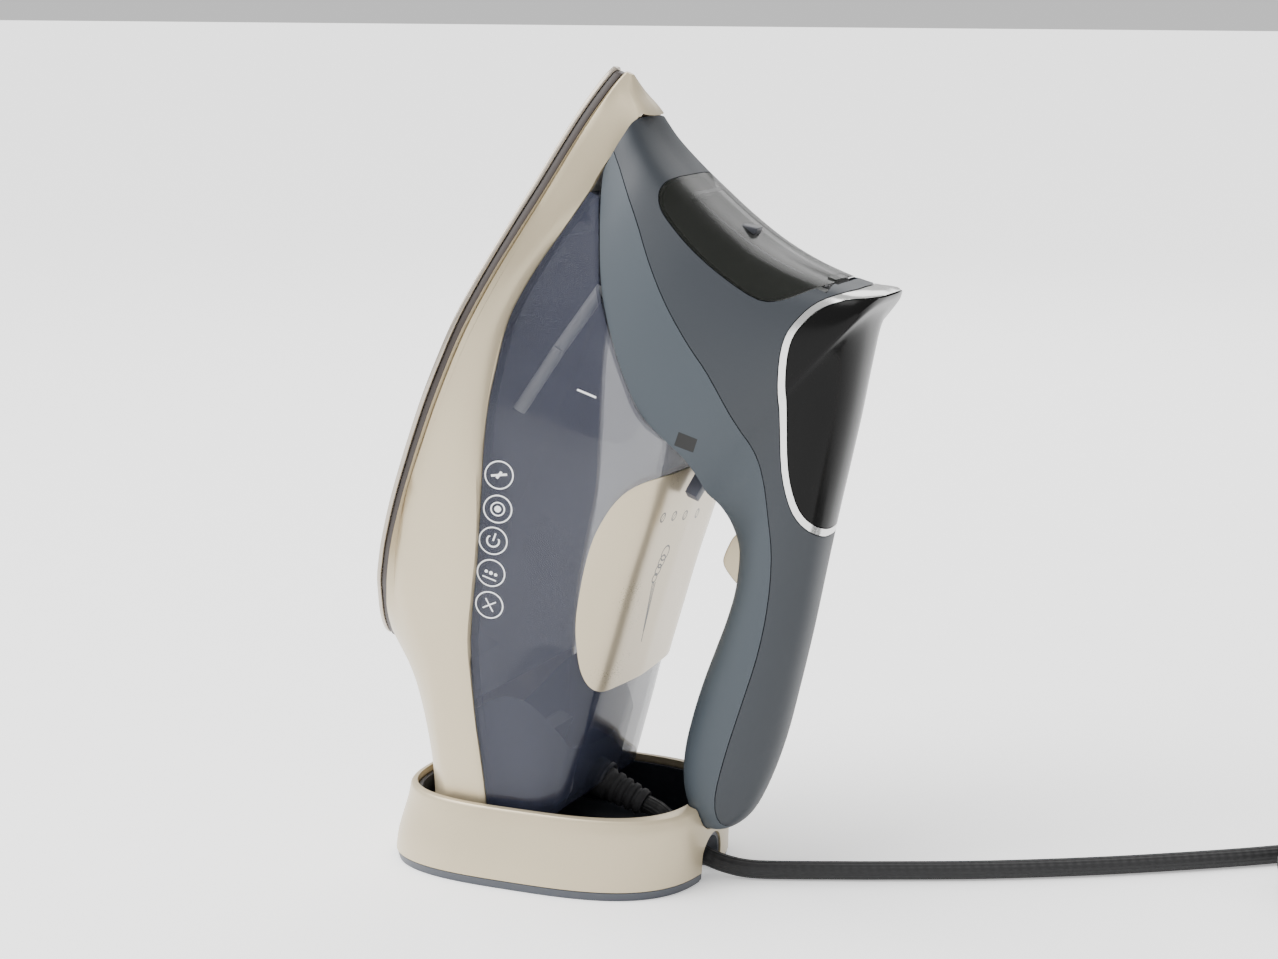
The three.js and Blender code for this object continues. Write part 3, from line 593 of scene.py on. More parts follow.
BODY = (
    (235.6, 1.4, 1.6, 4.9, 0, 1.5, 6.3, 1.3, 6.8, 1.1, 7.3, .8, 7.8, 8.2),
    (231, 7, 7.2, 4.75, 0, 6.7, 7.2, 6.1, 9, 5.5, 11, 4, 13, 14),
    (226, 11.3, 11.6, 4.6, 0, 10.7, 8.6, 9.7, 14, 9, 18, 7, 21, 22),
    (218, 17.1, 17.6, 4.3, 0, 15.9, 13.5, 14.3, 19, 13.5, 23, 11, 27, 28),
    (206, 23.9, 24.6, 3.9, 0, 22.4, 13, 20.6, 17.3, 20.2, 24, 17, 31, 32),
    (192, 31, 32, 3.4, 0, 29.6, 12.5, 27.2, 16.5, 26.7, 26, 23, 36, 37),
    (176, 39.8, 41, 2.85, 0, 37.3, 10.8, 33.4, 13.7, 32.5, 34, 28, 46, 47),
    (160, 48.1, 49.6, 2.3, 0, 45, 9.4, 39.6, 11.6, 36.2, 44, 31, 58, 59),
    (140, 55.1, 56.8, 1.6, 0, 51.5, 9.3, 45.6, 11.8, 37, 60, 31, 74, 75),
    (117, 57, 58.8, .8, 0, 54, 13, 49, 16, 40.6, 66, 30.5, 80, 82.5),
    (95, 55.9, 57.6, 0, 0, 54.3, 19, 50.6, 22.5, 41.5, 67, 31, 82, 84),
    (71, 52.6, 54.2, -.8, 0, 53, 27, 50.4, 30, 41.5, 68, 31, 83, 85.5),
    (50, 48.5, 50, -1.55, 5, 50.8, 31.5, 48.6, 34.5, 41.3, 69, 31, 84.5, 87),
    (30, 39.5, 46.5, -2.25, 14, 48.4, 36, 46, 39, 40.6, 71, 31, 86, 88.5),
    (12, 25, 45, -2.9, 29, 45, 43, 43.3, 46, 39.6, 74, 31, 88, 90),
    (-4, 10, 42.4, 6, 27, 42.4, 50, 41, 53, 38.4, 77, 31, 89.5, 91.5),
    (-20, 8, 39.6, 17.4, 22, 40, 56.5, 39, 59.5, 37, 80, 31, 91, 93),
    (-36, 8, 35.8, 25.8, 20, 36.8, 62.5, 36.4, 65.5, 35.6, 82, 31, 92, 94),
    (-52, 8, 33.6, 32, 20, 35, 68, 34.8, 71, 34.6, 84, 30.5, 93, 95),
    (-66, 8, 33, 37, 20, 35, 72, 34.6, 75, 33.8, 85.5, 30, 94, 96),
)
SOLE_MARKS = (
    (0, 9), (2, 13.5), (6, 18.5), (13, 25.4), (23, 33.4), (32, 40), (41, 44.6), (50, 48.5), (66, 53.4),
    (81, 56.3), (96, 58.3), (111, 59.5), (125, 59.1), (140, 57.4), (153, 53.1), (166, 47), (180, 39.5),
    (193, 32), (207, 24.6), (219, 17.5), (228, 10.5), (233, 5.6), (235.8, 1.6),
)
SKIRT_TOP = flow((
    (224.5, 20.5), (219, 18.9), (212, 18), (204, 17), (196, 16.8), (187, 15.6), (179, 14.2), (167, 12.2),
    (154, 11.1), (144, 11.4), (129, 14), (117, 16.2), (103, 20), (82, 26.6), (61, 32.3), (30, 38.8),
    (5, 48), (-16, 57.4), (-34, 64.8), (-60, 74),
), 3)
HOOD_EDGE = flow((
    (207, 16.8), (196, 21.3), (182, 29.2), (167, 37.6), (153, 48.5), (141.5, 58.8), (133, 68), (128, 78),
    (124, 86.5), (121, 96),
), 3)
SEAM = flow((
    (214, 10), (212, 18), (197, 37), (184, 50), (173, 62), (163, 75), (156, 85), (143, 99), (129, 111),
    (113, 120), (100, 126), (82, 131), (63, 134), (42, 135.3), (22, 136.5), (6, 138.5), (-4, 143), (-6, 150),
), 3)
LID = flow((
    (230, 50), (222, 47.5), (212, 42), (207, 41.5), (202, 45), (198, 52), (193, 64), (189, 78), (187, 91),
    (190, 98.5), (196, 105), (201, 111), (206, 112.5), (216, 112.5),
), 3)
DISPLAY = [(214, 124.2), *flow((
    (203.8, 124.2), (199.8, 116), (194, 109.5), (187, 106), (179, 104.3), (168, 106), (149, 111.5),
    (132, 118), (121, 125), (115.5, 131), (112, 138),
), 3), (112, 150), (214, 150)]
DECK_PLATE = flow((
    (118, 100), (117, 87), (111, 77.5), (102, 72), (89, 69.4), (77, 69.6), (65, 71.2), (54, 73.4),
    (45, 76.6), (35, 81.5), (29.5, 88), (28, 100),
), 4)
HEEL_PLANE = ((-63.2, 30.5), (-50.9, 62.5), (-31, 84), (-12, 94.2))
HEEL_HOUSING = [*HEEL_PLANE[:-1], *flow(
    ((-12, 94.2), (-2, 90), (9, 80), (16, 66), (14, 54), (4, 45), (-14, 38), (-34, 30)), 3)]
KEEP = ((BIG, -20), (-82.6, -20), (-50.9, 62.5), (-31, 84), (-12, 94.2), (-12, 130), (BIG, 130))
ABOVE_SKIRT = (
    (225.4, 200), (225.4, 19.6), (219, 19.4), (212, 18.4), (204, 17.4), (196, 17.2), (187, 16),
    (-100, 16), (-100, 200),
)
FUNNEL_TOP = (206, 0, 69.8)
FUNNEL_END = (172, 0, 27)


def power(x: float, n: float) -> float:
    """Raises a number to a power and keeps its sign."""
    return math.copysign(abs(x) ** n, x)


def whole_ring(half: Sequence[Point]) -> list[Point]:
    """Mirrors a half ring that starts and ends in the mid plane."""
    return [*half, *((x, -y, z) for x, y, z in reversed(half[1:-1]))]


def hood(name: str, inset: float) -> Obj:
    """Makes the hood and handle as one body, every face moved inwards by inset."""
    section = [*flow(HOOD_SECTION, 3), (1, 2 / 3), (1, 1 / 3), (1, 0)]
    rows = flow(HOOD, 4)
    if inset > 0:
        rows = rows[4:-4]
    rings = []
    for ox, oz, ix, iz, width, closed in rows:
        closed = min(max(closed, 0), 1)
        span = math.hypot(ix - ox, iz - oz)
        reach = 14 if closed < 0.35 and inset > 0 else -inset
        half = []
        for k, (depth, across) in enumerate(section):
            turn = math.pi * k / (len(section) - 1)
            s = depth + (0.5 - 0.5 * power(math.cos(turn), 0.87) - depth) * closed
            v = across + (power(abs(math.sin(turn)), 0.87) - across) * closed
            t = inset + s * (span + reach - inset)
            half.append((ox + (ix - ox) / span * t, (width - inset) * v, oz + (iz - oz) / span * t))
        rings.append(whole_ring(half))
    return loft(name, rings, parked)


def lower_body(name: str, inset: float) -> Obj:
    """Makes the body below the hood, every face moved inwards by inset."""
    rings = []
    for row in flow([r for r in BODY if r[2] > max(inset, 0) + 1.5], 4):
        x, flat, edge, under, heel, crease, crease_z, top, top_z, *upper = row
        shoulder, shoulder_z, deck, deck_z, crown = upper
        fit_, low, rise = (edge - inset) / edge, under + inset, shoulder_z - top_z
        under_half = [
            (0, low), (flat * fit_, low + 0.3),
            ((flat + 0.55 * (edge - flat)) * fit_, low + 0.38 * heel + 0.5),
            ((flat + 0.88 * (edge - flat)) * fit_, low + 0.75 * heel + 0.8),
            (edge - inset, low + heel + 1.1),
        ]
        side = [(edge - inset, low + heel + 1.1), (crease - inset, crease_z), (top - inset, top_z)]
        above = [
            (top - inset, top_z), (top + (shoulder - top) * 0.5 - inset, top_z + rise * 0.5),
            (shoulder - inset, shoulder_z - inset * 0.3),
            (shoulder - (shoulder - deck) * 0.38 - inset,
             shoulder_z + (deck_z - shoulder_z) * 0.62 - inset * 0.6),
            (deck - inset * 0.6, deck_z - inset), (0.55 * deck, (deck_z + 2 * crown) / 3 - inset),
            (0, crown - inset),
        ]
        half = [*flow(under_half, 2)[:-1], *flow(side, 3)[:-1], *flow(above, 4)]
        rings.append(whole_ring([(x, max(y, 0), z) for y, z in half]))
    return loft(name, rings, parked)


def sole_outline(inset: float) -> list[tuple[float, float]]:
    """Plan outline of the sole, moved inwards by inset."""
    marks = [(x, y) for x, y in flow(SOLE_MARKS, 4) if x > inset and y > inset + 1.4]
    first = next(y for x, y in flow(SOLE_MARKS, 4) if x >= inset)
    marks.insert(0, (inset, first))
    return [(x, inset - y) for x, y in marks] + [(x, y - inset) for x, y in reversed(marks)]


def block(low: Point, high: Point) -> Obj:
    """Makes a box between two corners of the iron's frame."""
    (u0, v0, w0), (u1, v1, w1) = low, high
    if v0 == -v1:
        return prism("block", ((u0, w0), (u1, w0), (u1, w1), (u0, w1)), v1)
    return loft("block", [[(u0, v0, w), (u1, v0, w), (u1, v1, w), (u0, v1, w)]
                          for w in (w0, w1)], parked)


# ---- sub-assemblies ----
@dataclass
class Foot:
    """Sole plate and the dark band above it."""

    thick: float = 1.8
    band_top: float = 4.6

    def build(self) -> None:
        """Makes both plates."""
        sole = plate("sole_plate", sole_outline(0), 0, self.thick, dipped)
        sole = eased(sole, 0.5, 3, 50)
        holes = [rod("hole", dipped((x, side, -1)), dipped((x, side, 4)), 1.4, 20)
                 for x, side in self.vents()]
        take(holes[0])
        for hole in holes:
            hole.select_set(True)
        bpy.ops.object.join()
        level(smooth(meet(sole, Join.CUT, holes[0]), 30))
        fit(sole, SOLE, "iron", "soleplate", "soleplate")
        band = plate("sole_heat_band", sole_outline(0.9), self.thick + GAP, self.band_top, dipped)
        meet(band, Join.CUT, plate("inner", sole_outline(8), 0, 10, dipped))
        fit(eased(band, 0.25, 2, 50), BAND, "iron", "band", "sole_band")

    def vents(self) -> list[tuple[float, float]]:
        """Places of the steam vents along both edges."""
        out = []
        for x in range(58, 220, 13):
            y = sole_width(x) - 11
            out += [(x, -y), (x, y)] if y > 4 else [(x, 0)]
        return out


def sole_width(x: float) -> float:
    """Half-width of the sole at x, between its marks."""
    for (x0, y0), (x1, y1) in zip(SOLE_MARKS, SOLE_MARKS[1:]):
        if x0 <= x <= x1:
            return y0 + (y1 - y0) * (x - x0) / (x1 - x0)
    return 0


@dataclass
class Tub:
    """Skirt, water tank, heel housing and the oval plate on the deck."""

    wall: float = WALL

    def build(self) -> None:
        """Makes the four shells."""
        outer = lower_body("outer", 0)
        self.skirt(outer)
        self.tank(outer)
        bpy.data.objects.remove(outer)
        heel = meet(lower_body("heel_shell", 2.7), Join.KEEP, prism("side", HEEL_HOUSING))
        hollow = meet(lower_body("hollow", 5.2), Join.KEEP, prism("side", grown(HEEL_HOUSING, -2.4)))
        collar = rod("collar", parked((GUARD_U, 0, 82)), parked((GUARD_U, 0, 93)), 8, 48)
        meet(heel, Join.CUT, hollow)
        meet(heel, Join.ADD, meet(collar, Join.KEEP, prism("keep", KEEP)))
        meet(heel, Join.CUT,
             rod("bore", parked((GUARD_U, 0, 76)), parked((GUARD_U, 0, 100)), 6.9, 48),
             rod("way", parked((-4, 0, 30)), parked((-4, 0, 56)), 5, 32))
        fit(smooth(heel), DARK, "iron", "dark", "heel_housing")
        deck = meet(lower_body("deck_oval", -1.9), Join.KEEP, prism("side", DECK_PLATE))
        meet(deck, Join.CUT, lower_body("inner", -GAP))
        fit(eased(deck, 0.5, 3, 50), DECK, "iron", "champagne", "deck_plate")

    def print_on(self, tank: Obj) -> None:
        """Gives the near wall's outer faces the print, and inner faces a clearer finish."""
        for finish in (PRINTED_TANK, INNER_TANK):
            tank.data.materials.append(material_of(finish))
        for face in tank.data.polygons:
            place = face.center - HEEL_PLACE * MM
            if face.normal.y * face.center.y < 0 and abs(face.normal.y) > 0.2:
                face.material_index = 2
            elif face.normal.y < -0.3 and face.center.y < -0.03 and place.dot(U_AXIS) > -0.01:
                face.material_index = 1

    def skirt(self, outer: Obj) -> None:
        """Cuts the champagne skirt from the outer body."""
        region = [(BIG, 40), (225.8, 40), (225.8, 19.1), *SKIRT_TOP[3:],
                  (-90, 84), (-90, -20), (BIG, -20)]
        skirt = meet(twin(outer, "body_skirt"), Join.KEEP,
                     prism("side", region), prism("keep", KEEP))
        meet(skirt, Join.CUT, lower_body("inner", self.wall),
             plate("opening", sole_outline(5.5), -5, 9, dipped))
        fit(smooth(skirt), CHAMPAGNE, "iron", "champagne", "skirt")

    def tank(self, outer: Obj) -> None:
        """Cuts the clear tank from the outer body."""
        outline = [*shifted(SKIRT_TOP, -GAP)[12:], (-90, 84.5), (-90, 140), (120.5, 140),
                   *reversed(shifted(HOOD_EDGE, GAP + 0.1)[3:])]
        tank = meet(twin(outer, "clear_tank"), Join.KEEP,
                    prism("side", outline), prism("keep", KEEP))
        hollow = meet(lower_body("hollow", 2), Join.KEEP, prism("side", grown(outline, -2)))
        heel = meet(lower_body("heel", 2.3), Join.KEEP, prism("side", grown(HEEL_HOUSING, GAP)))
        meet(tank, Join.CUT, hollow, heel,
             rod("spout", parked(FUNNEL_END), parked(FUNNEL_TOP), 7.4, 32),
             rod("bore", parked((GUARD_U, 0, 60)), parked((GUARD_U, 0, 100)), 8.4, 32))
        fit(smooth(tank), TANK, "iron", "smoky_blue", "water_tank")
        self.print_on(tank)
        bend = parked((142, 35.5, 30))
        tube = rod("tank_level_tube", parked((167, 28, 35)), bend, 2.4)
        meet(tube, Join.ADD, rod("lower", bend, parked((116, 40, 25)), 2.4))
        fit(smooth(tube), WHITE, "iron", "white")


@dataclass
class Hood:
    """Grip, slate cover, display, filling lid and the funnel under it."""

    bezel: float = 2.6
    knuckle: float = 2.5

    def build(self) -> None:
        """Cuts every shell from one hood."""
        shell = meet(hood("hood", 0), Join.CUT, hood("inner", WALL))
        meet(shell, Join.KEEP, prism("above", ABOVE_SKIRT))
        grip = meet(twin(shell, "grip_shell"), Join.KEEP, prism(
            "side", [*shifted(SEAM, GAP / 2), (-60, 150), (-60, -20), (214, -20)]))
        meet(grip, Join.CUT, block((79.8, -6.5, 100), (102, 6.5, 119)))
        fit(smooth(grip), SOFT_GRIP, "iron", "grip", "handle_grip")
        self.cover(shell)
        self.display(shell)
        self.lid(shell)
        bpy.data.objects.remove(shell)
        self.funnel()

    def cover(self, shell: Obj) -> None:
        """Cuts the slate cover, with its openings for the lid and the display."""
        u, w = LID_HINGE
        cover = meet(twin(shell, "slate_cover"), Join.KEEP, prism(
            "side", [*shifted(SEAM, -GAP / 2), (-6, 170), (BIG, 170), (BIG, 10)]))
        meet(cover, Join.CUT, prism("lid", LID), prism("display", DISPLAY),
             block((u - 3, -10.5, w - 3), (u + 8, 10.5, w + 3.4)),
             rod("swing", parked((u, -19.6, w)), parked((u, 19.6, w)), 3.4, 32))
        fit(smooth(cover), SLATE, "iron", "slate", "handle_cover")

    def display(self, shell: Obj) -> None:
        """Cuts the bright frame and the black window inside it."""
        frame_ = meet(twin(shell, "display_frame"), Join.KEEP, prism("side", grown(DISPLAY, -GAP)))
        meet(frame_, Join.CUT, prism("inner", grown(DISPLAY, -self.bezel)))
        fit(smooth(frame_), TRIM, "iron", "silver", "display_bezel")
        window = meet(twin(shell, "display_glass"), Join.KEEP,
                      prism("side", grown(DISPLAY, -self.bezel - GAP)),
                      prism("front", ((100, 100), (201.5, 100), (201.5, 160), (100, 160))))
        fit(smooth(window), GLASS_BLACK, "iron", "black_gloss", "display_window")

    def lid(self, shell: Obj) -> None:
        """Cuts the smoked lid and adds its knuckle and latch."""
        u, w = LID_HINGE
        lid = meet(twin(shell, "smoked_lid"), Join.KEEP, prism("side", grown(LID, -GAP)),
                   prism("below", ((150, 0), (BIG, 0), (BIG, 110), (150, 110))))
        knuckle = meet(rod("knuckle", parked((u, -7, w)), parked((u, 7, w)), self.knuckle),
                       Join.ADD, block((u, -7, w - 2), (u + 3.2, 7, w + 1)))
        meet(lid, Join.ADD, knuckle)
        meet(lid, Join.CUT, rod("bore", parked((u, -9, w)), parked((u, 9, w)), 1.55))
        fit(smooth(lid), SMOKED, "lid", "smoked_clear", "fill_lid")
        latch = loft("lid_latch", [[(x + dx * s, y * s, z + dz * s) for dx, y, dz in (
            (-.5, -3.2, -3.4), (.5, -3.2, 3.4), (.5, 3.2, 3.4), (-.5, 3.2, -3.4))]
            for x, z, s in ((200.4, 69.4, 1.0), (203.3, 70.1, 0.9))], parked)
        fit(eased(latch, 0.5), DARK, "lid", "dark")

    def funnel(self) -> None:
        """Makes the funnel under the lid, with its spout."""
        u, w = LID_HINGE
        beyond = [a + 0.3 * (a - b) for a, b in zip(FUNNEL_TOP, FUNNEL_END)]
        inside = hood("inside", WALL + 0.5)
        spout = meet(rod("spout", parked(FUNNEL_END), parked(beyond), 7, 48), Join.KEEP,
                     inside, keep=True)
        meet(inside, Join.CUT, hood("inner", WALL + 2))
        inside.name = "funnel_shell"
        meet(inside, Join.KEEP, prism("side", grown(LID, 2)))
        meet(inside, Join.ADD, spout)
        low = (FUNNEL_END[0] - 3, 0, FUNNEL_END[2] - 3.8)
        meet(inside, Join.CUT, rod("bore", parked(low), parked(beyond), 5.4, 48),
             block((u - 6, -11, w - 4), (u + 8, 11, w + 9)))
        fit(smooth(inside), WHITE, "iron", "white", "fill_funnel")


@dataclass
class Controls:
    """Trigger, steam lever and the lead's guard."""

    lever_reach: float = 27.5
    lever_rest: float = math.radians(32)
    ribs: int = 4

    def build(self) -> None:
        """Makes the three moving pieces."""
        outline = (
            (101, 112), (99.5, 108.3), (96, 106.2), (89, 105.6), (85.8, 106.4), (83.5, 109), (81, 114),
            (81, 118), (96, 119.5), (96.6, 126), (101.3, 126), (101.6, 117),
        )
        trigger = prism("trigger_key", [*flow(outline[:8], 4), *outline[8:]], 6)
        eased(trigger, 0.8)
        bore = rod("bore", parked((98.5, -9, 116.5)), parked((98.5, 9, 116.5)), 1.75)
        smooth(meet(trigger, Join.CUT, bore))
        fit(trigger, CHAMPAGNE, "trigger", "champagne", "trigger")
        self.lever()
        self.guard()

    def lever(self) -> None:
        """Makes the steam lever: boss, arm and knob."""
        c, s = math.cos(self.lever_rest), math.sin(self.lever_rest)
        lever = rod("lever_key", parked((131, 0, 86.7)), parked((131, 0, 90)), 6.5, 48)
        arm = plate("arm", [(131 - c * a + s * b, s * a + c * b) for a, b in (
            (0, -3.2), (self.lever_reach, -2.9), (self.lever_reach, 2.9), (0, 3.2))],
            86.8, 89.5, parked)
        tab = plate("tab", [(131 - c * a + s * b, s * a + c * b) for a, b in (
            (self.lever_reach - 6, -3.1), (self.lever_reach + 1, -2.8), (self.lever_reach + 1, 2.8),
            (self.lever_reach - 6, 3.1))], 86.9, 91.4, parked)
        meet(lever, Join.ADD, arm, tab)
        fit(eased(lever, 0.5, 3), LEVER, "lever", "grip", "steam_lever")

    def guard(self) -> None:
        """Turns the ribbed guard about its axis."""
        profile = [(0.01, 78), (8.4, 78), (8.4, 80), (6.3, 80.4), (6.3, 94)]
        for i in range(self.ribs):
            w, r = 95 + 3.6 * i, 6.1 - 0.3 * i
            profile += [(r - .9, w), (r - .9, w + 1.1), (r - .3, w + 1.2),
                        (r, w + 1.6), (r, w + 2.8), (r - .3, w + 3.2)]
        profile += [(4.6, 110), (0.01, 110)]
        guard = bored("lead_guard", profile, parked((GUARD_U, 0, 0)), W_AXIS)
        fit(smooth(guard, 40), RUBBER, "guard", "black", "cord_guard")


@dataclass
class Stand:
    """Oval stand: champagne shell, dark well, slate base and arch lining."""

    squareness: float = 3
    count: int = 120
    arch_half: float = 9
    arch_top: float = 17

    def oval(self, centre: float, length: float, width: float, z: float) -> list[Point]:
        """A superellipse ring at height z."""
        out = []
        for i in range(self.count):
            a = 2 * math.pi * i / self.count
            out.append((centre + length * power(math.cos(a), 2 / self.squareness),
                        width * power(math.sin(a), 2 / self.squareness), z))
        return out

    def ovals(self, name: str, *rows: Point) -> Obj:
        """Makes a body over a row of ovals."""
        return loft(name, [self.oval(*row) for row in rows], standing)

    def arch(self, extra: float, start: float) -> Obj:
        """Makes the arched way for the lead, from start outwards."""
        half, mid = self.arch_half + extra, self.arch_top - self.arch_half
        turns = [math.pi * k / 24 for k in range(25)]
        line = [(-half, -2), *((half * -math.cos(a), mid + half * math.sin(a)) for a in turns),
                (half, -2)]
        return loft("arch", [[(x, y, z) for y, z in line] for x in (start, 90)], standing)

    def build(self) -> None:
        """Makes the four pieces around the parked iron."""
        seat = hood("seat", -0.7)
        outer = flow(((1.5, 62, 47, STAND_BASE + GAP), (2.2, 61.6, 46.4, 11), (4.6, 60.4, 44.6, 23),
                      (4.9, 59.7, 43.6, 28.2)), 4)
        rim = [(4.95, 59.5, 43.4, 29.2), (5, 59.1, 43, 29.8), (5, 58.6, 42.5, STAND_RIM)]
        shell = self.ovals("stand_body", *outer, *rim)
        meet(shell, Join.CUT,
             self.ovals("inner", (1.5, 59.6, 44.6, 3), (4, 58.4, 42, 23), (4.6, 57.4, 41.2, 27.6)),
             self.ovals("mouth", (3, 55.4, 40.8, 20), (3, 55.4, 40.8, 40)))
        meet(shell, Join.CUT, seat, keep=True)
        meet(shell, Join.CUT, self.arch(0, 46))
        fit(smooth(shell), CHAMPAGNE, "stand", "champagne", "stand_shell")
        liner = self.ovals("stand_well", (3, 55, 40.4, STAND_BASE + GAP), (3, 55, 40.4, 27.2))
        meet(liner, Join.CUT, self.ovals("well", (3, 53.6, 39, 9.4), (3, 53.6, 39, 40)))
        meet(liner, Join.CUT, seat, keep=True)
        meet(liner, Join.CUT, self.arch(0, 46))
        fit(smooth(liner), DARK, "stand", "dark", "stand_liner")
        base = self.ovals("stand_foot_plate", (1.5, 61, 46, 0), (1.5, 61.8, 46.8, STAND_BASE))
        meet(base, Join.CUT, self.arch(0, 46),
             *(rod("pad", standing((x, y, -1)), standing((x, y, 1.6)), 6.4)
               for x, y in ((-42, -24), (-42, 24), (38, -28), (38, 28))),
             *(rod("screw", standing((x, y, -1)), standing((x, y, 5)), 3.4)
               for x, y in ((-34, 0), (12, 30), (12, -30))))
        fit(smooth(base), STAND_FOOT, "stand", "slate", "stand_base")
        lining = meet(self.arch(-GAP, 55), Join.CUT, self.arch(-GAP - 1.3, 50))
        lining.name = "arch_sleeve"
        meet(lining, Join.KEEP, self.ovals("within", (1.5, 61, 46, 0.4), (4.2, 59.6, 44, 23)))
        meet(lining, Join.CUT, seat)
        fit(smooth(lining), STAND_FOOT, "stand", "slate", "stand_arch_lining")


@dataclass
class Lead:
    """Braided mains lead with its coil, tie and three-pin plug."""

    diameter: float = CORD_DIAMETER
    coil_centre: tuple[float, float] = (312, 78)
    outer_radius: float = 50.5
    pitch: float = 7.1
    turns: float = 6.317
    start_angle: float = 114
    plug: tuple[float, float] = (364.75, 8)

    def loose(self) -> list[list[float]]:
        """The stretch from the stand to the coil."""
        return [
            [36.63, 0, 24.28], [41.3, 0, 22.5], [46.2, 0, 19], [51, 0, 14.2], [56, 0, 10.3], [62, 0, 7],
            [70, .6, 4.8], [79, 2.4, 3.7], [92, 7.2, 3.6], [108, 14, 3.6], [124, 21, 3.6], [160, 38, 3.6],
            [200, 61, 3.6], [240, 88, 3.6], [267, 108.5, 3.6],
        ]

    def coiled(self) -> list[list[float]]:
        """The coil: three turns inwards on the floor and three outwards on top of them."""
        out, count = [], round(self.turns * 16)
        (cx, cy) = self.coil_centre
        for k in range(count + 1):
            t = self.turns * k / count
            angle = math.radians(self.start_angle - 360 * t)
            r = self.outer_radius - self.pitch * t if t < 3 else 29.2 + self.pitch * (t - 3)
            s = min(max((t - 2.75) / 0.6, 0), 1)
            z = 3.6 + self.pitch * s ** 3 * (s * (6 * s - 15) + 10)
            out.append([cx + r * math.cos(angle), cy + r * math.sin(angle), z])
        return out

    def route(self) -> list[list[float]]:
        """The whole centreline, in millimetres."""
        x, y = self.plug
        cy = self.coil_centre[1]
        tail = [[x, cy - 12, 10.7], [x, cy - 24, 10.7], [x, y + 34.2, 10.7]]
        return [*self.loose(), *self.coiled(), *tail]

    def build(self) -> None:
        """Makes the lead first, then the plug and tie that belong to it."""
        line = flow(self.route(), 5)
        lead = self.sleeve(line)
        dress(lead, Braid())
        plug = self.plug_body()
        tie = self.tie()
        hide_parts("mains_lead", "mains_lead_coil", "mains_lead_tail")
        for piece in (lead, plug, tie):
            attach(piece, "stand")
        [tuple(standing(p)) for p in self.route()]

    def sleeve(self, line: Rows, sides: int = 14) -> Obj:
        """Sweeps a round section along the line, with a map that runs along it."""
        points = [standing(p) for p in line]
        side = Vector((0, 1, 0))
        rings, runs, run = [], [], 0.0
        for i, p in enumerate(points):
            ahead = (points[min(i + 1, len(points) - 1)] - points[max(i - 1, 0)]).normalized()
            side = (side - ahead * side.dot(ahead)).normalized()
            up = ahead.cross(side)
            run += (p - points[i - 1]).length if i else 0
            runs.append(run / (self.diameter * MM))
            rings.append([p + (side * math.cos(a) + up * math.sin(a)) * self.diameter / 2 * MM
                          for a in (2 * math.pi * k / sides for k in range(sides))])
        mesh = bpy.data.meshes.new("lead")
        verts = [q for ring in rings for q in ring] + [points[0], points[-1]]
        faces = [(i * sides + k, i * sides + (k + 1) % sides,
                  (i + 1) * sides + (k + 1) % sides, (i + 1) * sides + k)
                 for i in range(len(rings) - 1) for k in range(sides)]
        n, last = len(rings) * sides, (len(rings) - 1) * sides
        faces += [((k + 1) % sides, k, n) for k in range(sides)]
        faces += [(last + k, last + (k + 1) % sides, n + 1) for k in range(sides)]
        mesh.from_pydata([tuple(v) for v in verts], [], faces)
        chart = mesh.uv_layers.new(name="run")
        for poly in mesh.polygons[:(len(rings) - 1) * sides]:
            i, k = divmod(poly.index, sides)
            corners = ((k, i), (k + 1, i), (k + 1, i + 1), (k, i + 1))
            for corner, (across, along) in zip(poly.loop_indices, corners):
                chart.data[corner].uv = (across / sides, runs[along])
        obj = bpy.data.objects.new("braided_lead", mesh)
        bpy.context.scene.collection.objects.link(obj)
        return smooth(obj, 60)

    def plug_body(self) -> Obj:
        """Makes the plug's two-step body and its ribbed collar."""
        x, y = self.plug
        outline = [(x + a, y + b) for a, b in flow((
            (-24, -25), (24, -25), (25.5, -22), (25.5, 6), (22, 17), (14, 24), (6, 26), (-6, 26), (-14, 24),
            (-22, 17), (-25.5, 6), (-25.5, -22)), 3, closed=True)]
        steps = ((1.2, 0.05), (0.4, 0.4), (0, 1.2), (0, 18.8), (0.4, 19.6), (1.2, 20), (2.5, 20.05),
                 (2.5, 22.3), (2.8, 22.8), (3.4, 23))
        rings = [[(a, b, z) for a, b in grown(outline, -inset)] for inset, z in steps]
        body = loft("plug_case", rings, standing)
        profile = [(6.2, 20), (6.2, 26.5)]
        for k in range(3):
            y0, slim, wide = 27 + 2.4 * k, 5.0 - .3 * k, 5.9 - .4 * k
            profile += [(slim, y0), (slim, y0 + 1), (wide, y0 + 1.3), (wide - .1, y0 + 2)]
        profile += [(4.4, 34.1), (4.2, 34.2)]
        collar = bored("collar", profile, standing((x, y, 10.7)), Vector((0, 1, 0)))
        take(body)
        collar.select_set(True)
        bpy.ops.object.join()
        dress(smooth(body, 35), BLACK)
        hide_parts("plug_body")
        return body

    def tie(self) -> Obj:
        """Wraps a flat rubber strap round the coil's far side."""
        cx, cy = self.coil_centre
        section = flow(((26.6, .4), (54.8, .4), (56.2, 3), (56.2, 11.4), (54.8, 14),
                        (26.6, 14.2), (25.3, 11.4), (25.3, 3)), 4, closed=True)
        inner = grown(section, -1.1)
        points = [standing((cx + r, cy + off, max(z, 0.02)))
                  for off, line in ((-4, section), (4, section), (4, inner), (-4, inner))
                  for r, z in line]
        count = len(section)
        faces = [(a * count + k, a * count + (k + 1) % count, (a + 1) % 4 * count + (k + 1) % count,
                  (a + 1) % 4 * count + k) for a in range(4) for k in range(count)]
        strap = mesh_piece("lead_tie", points, faces)
        dress(smooth(strap, 40), RUBBER)
        return strap


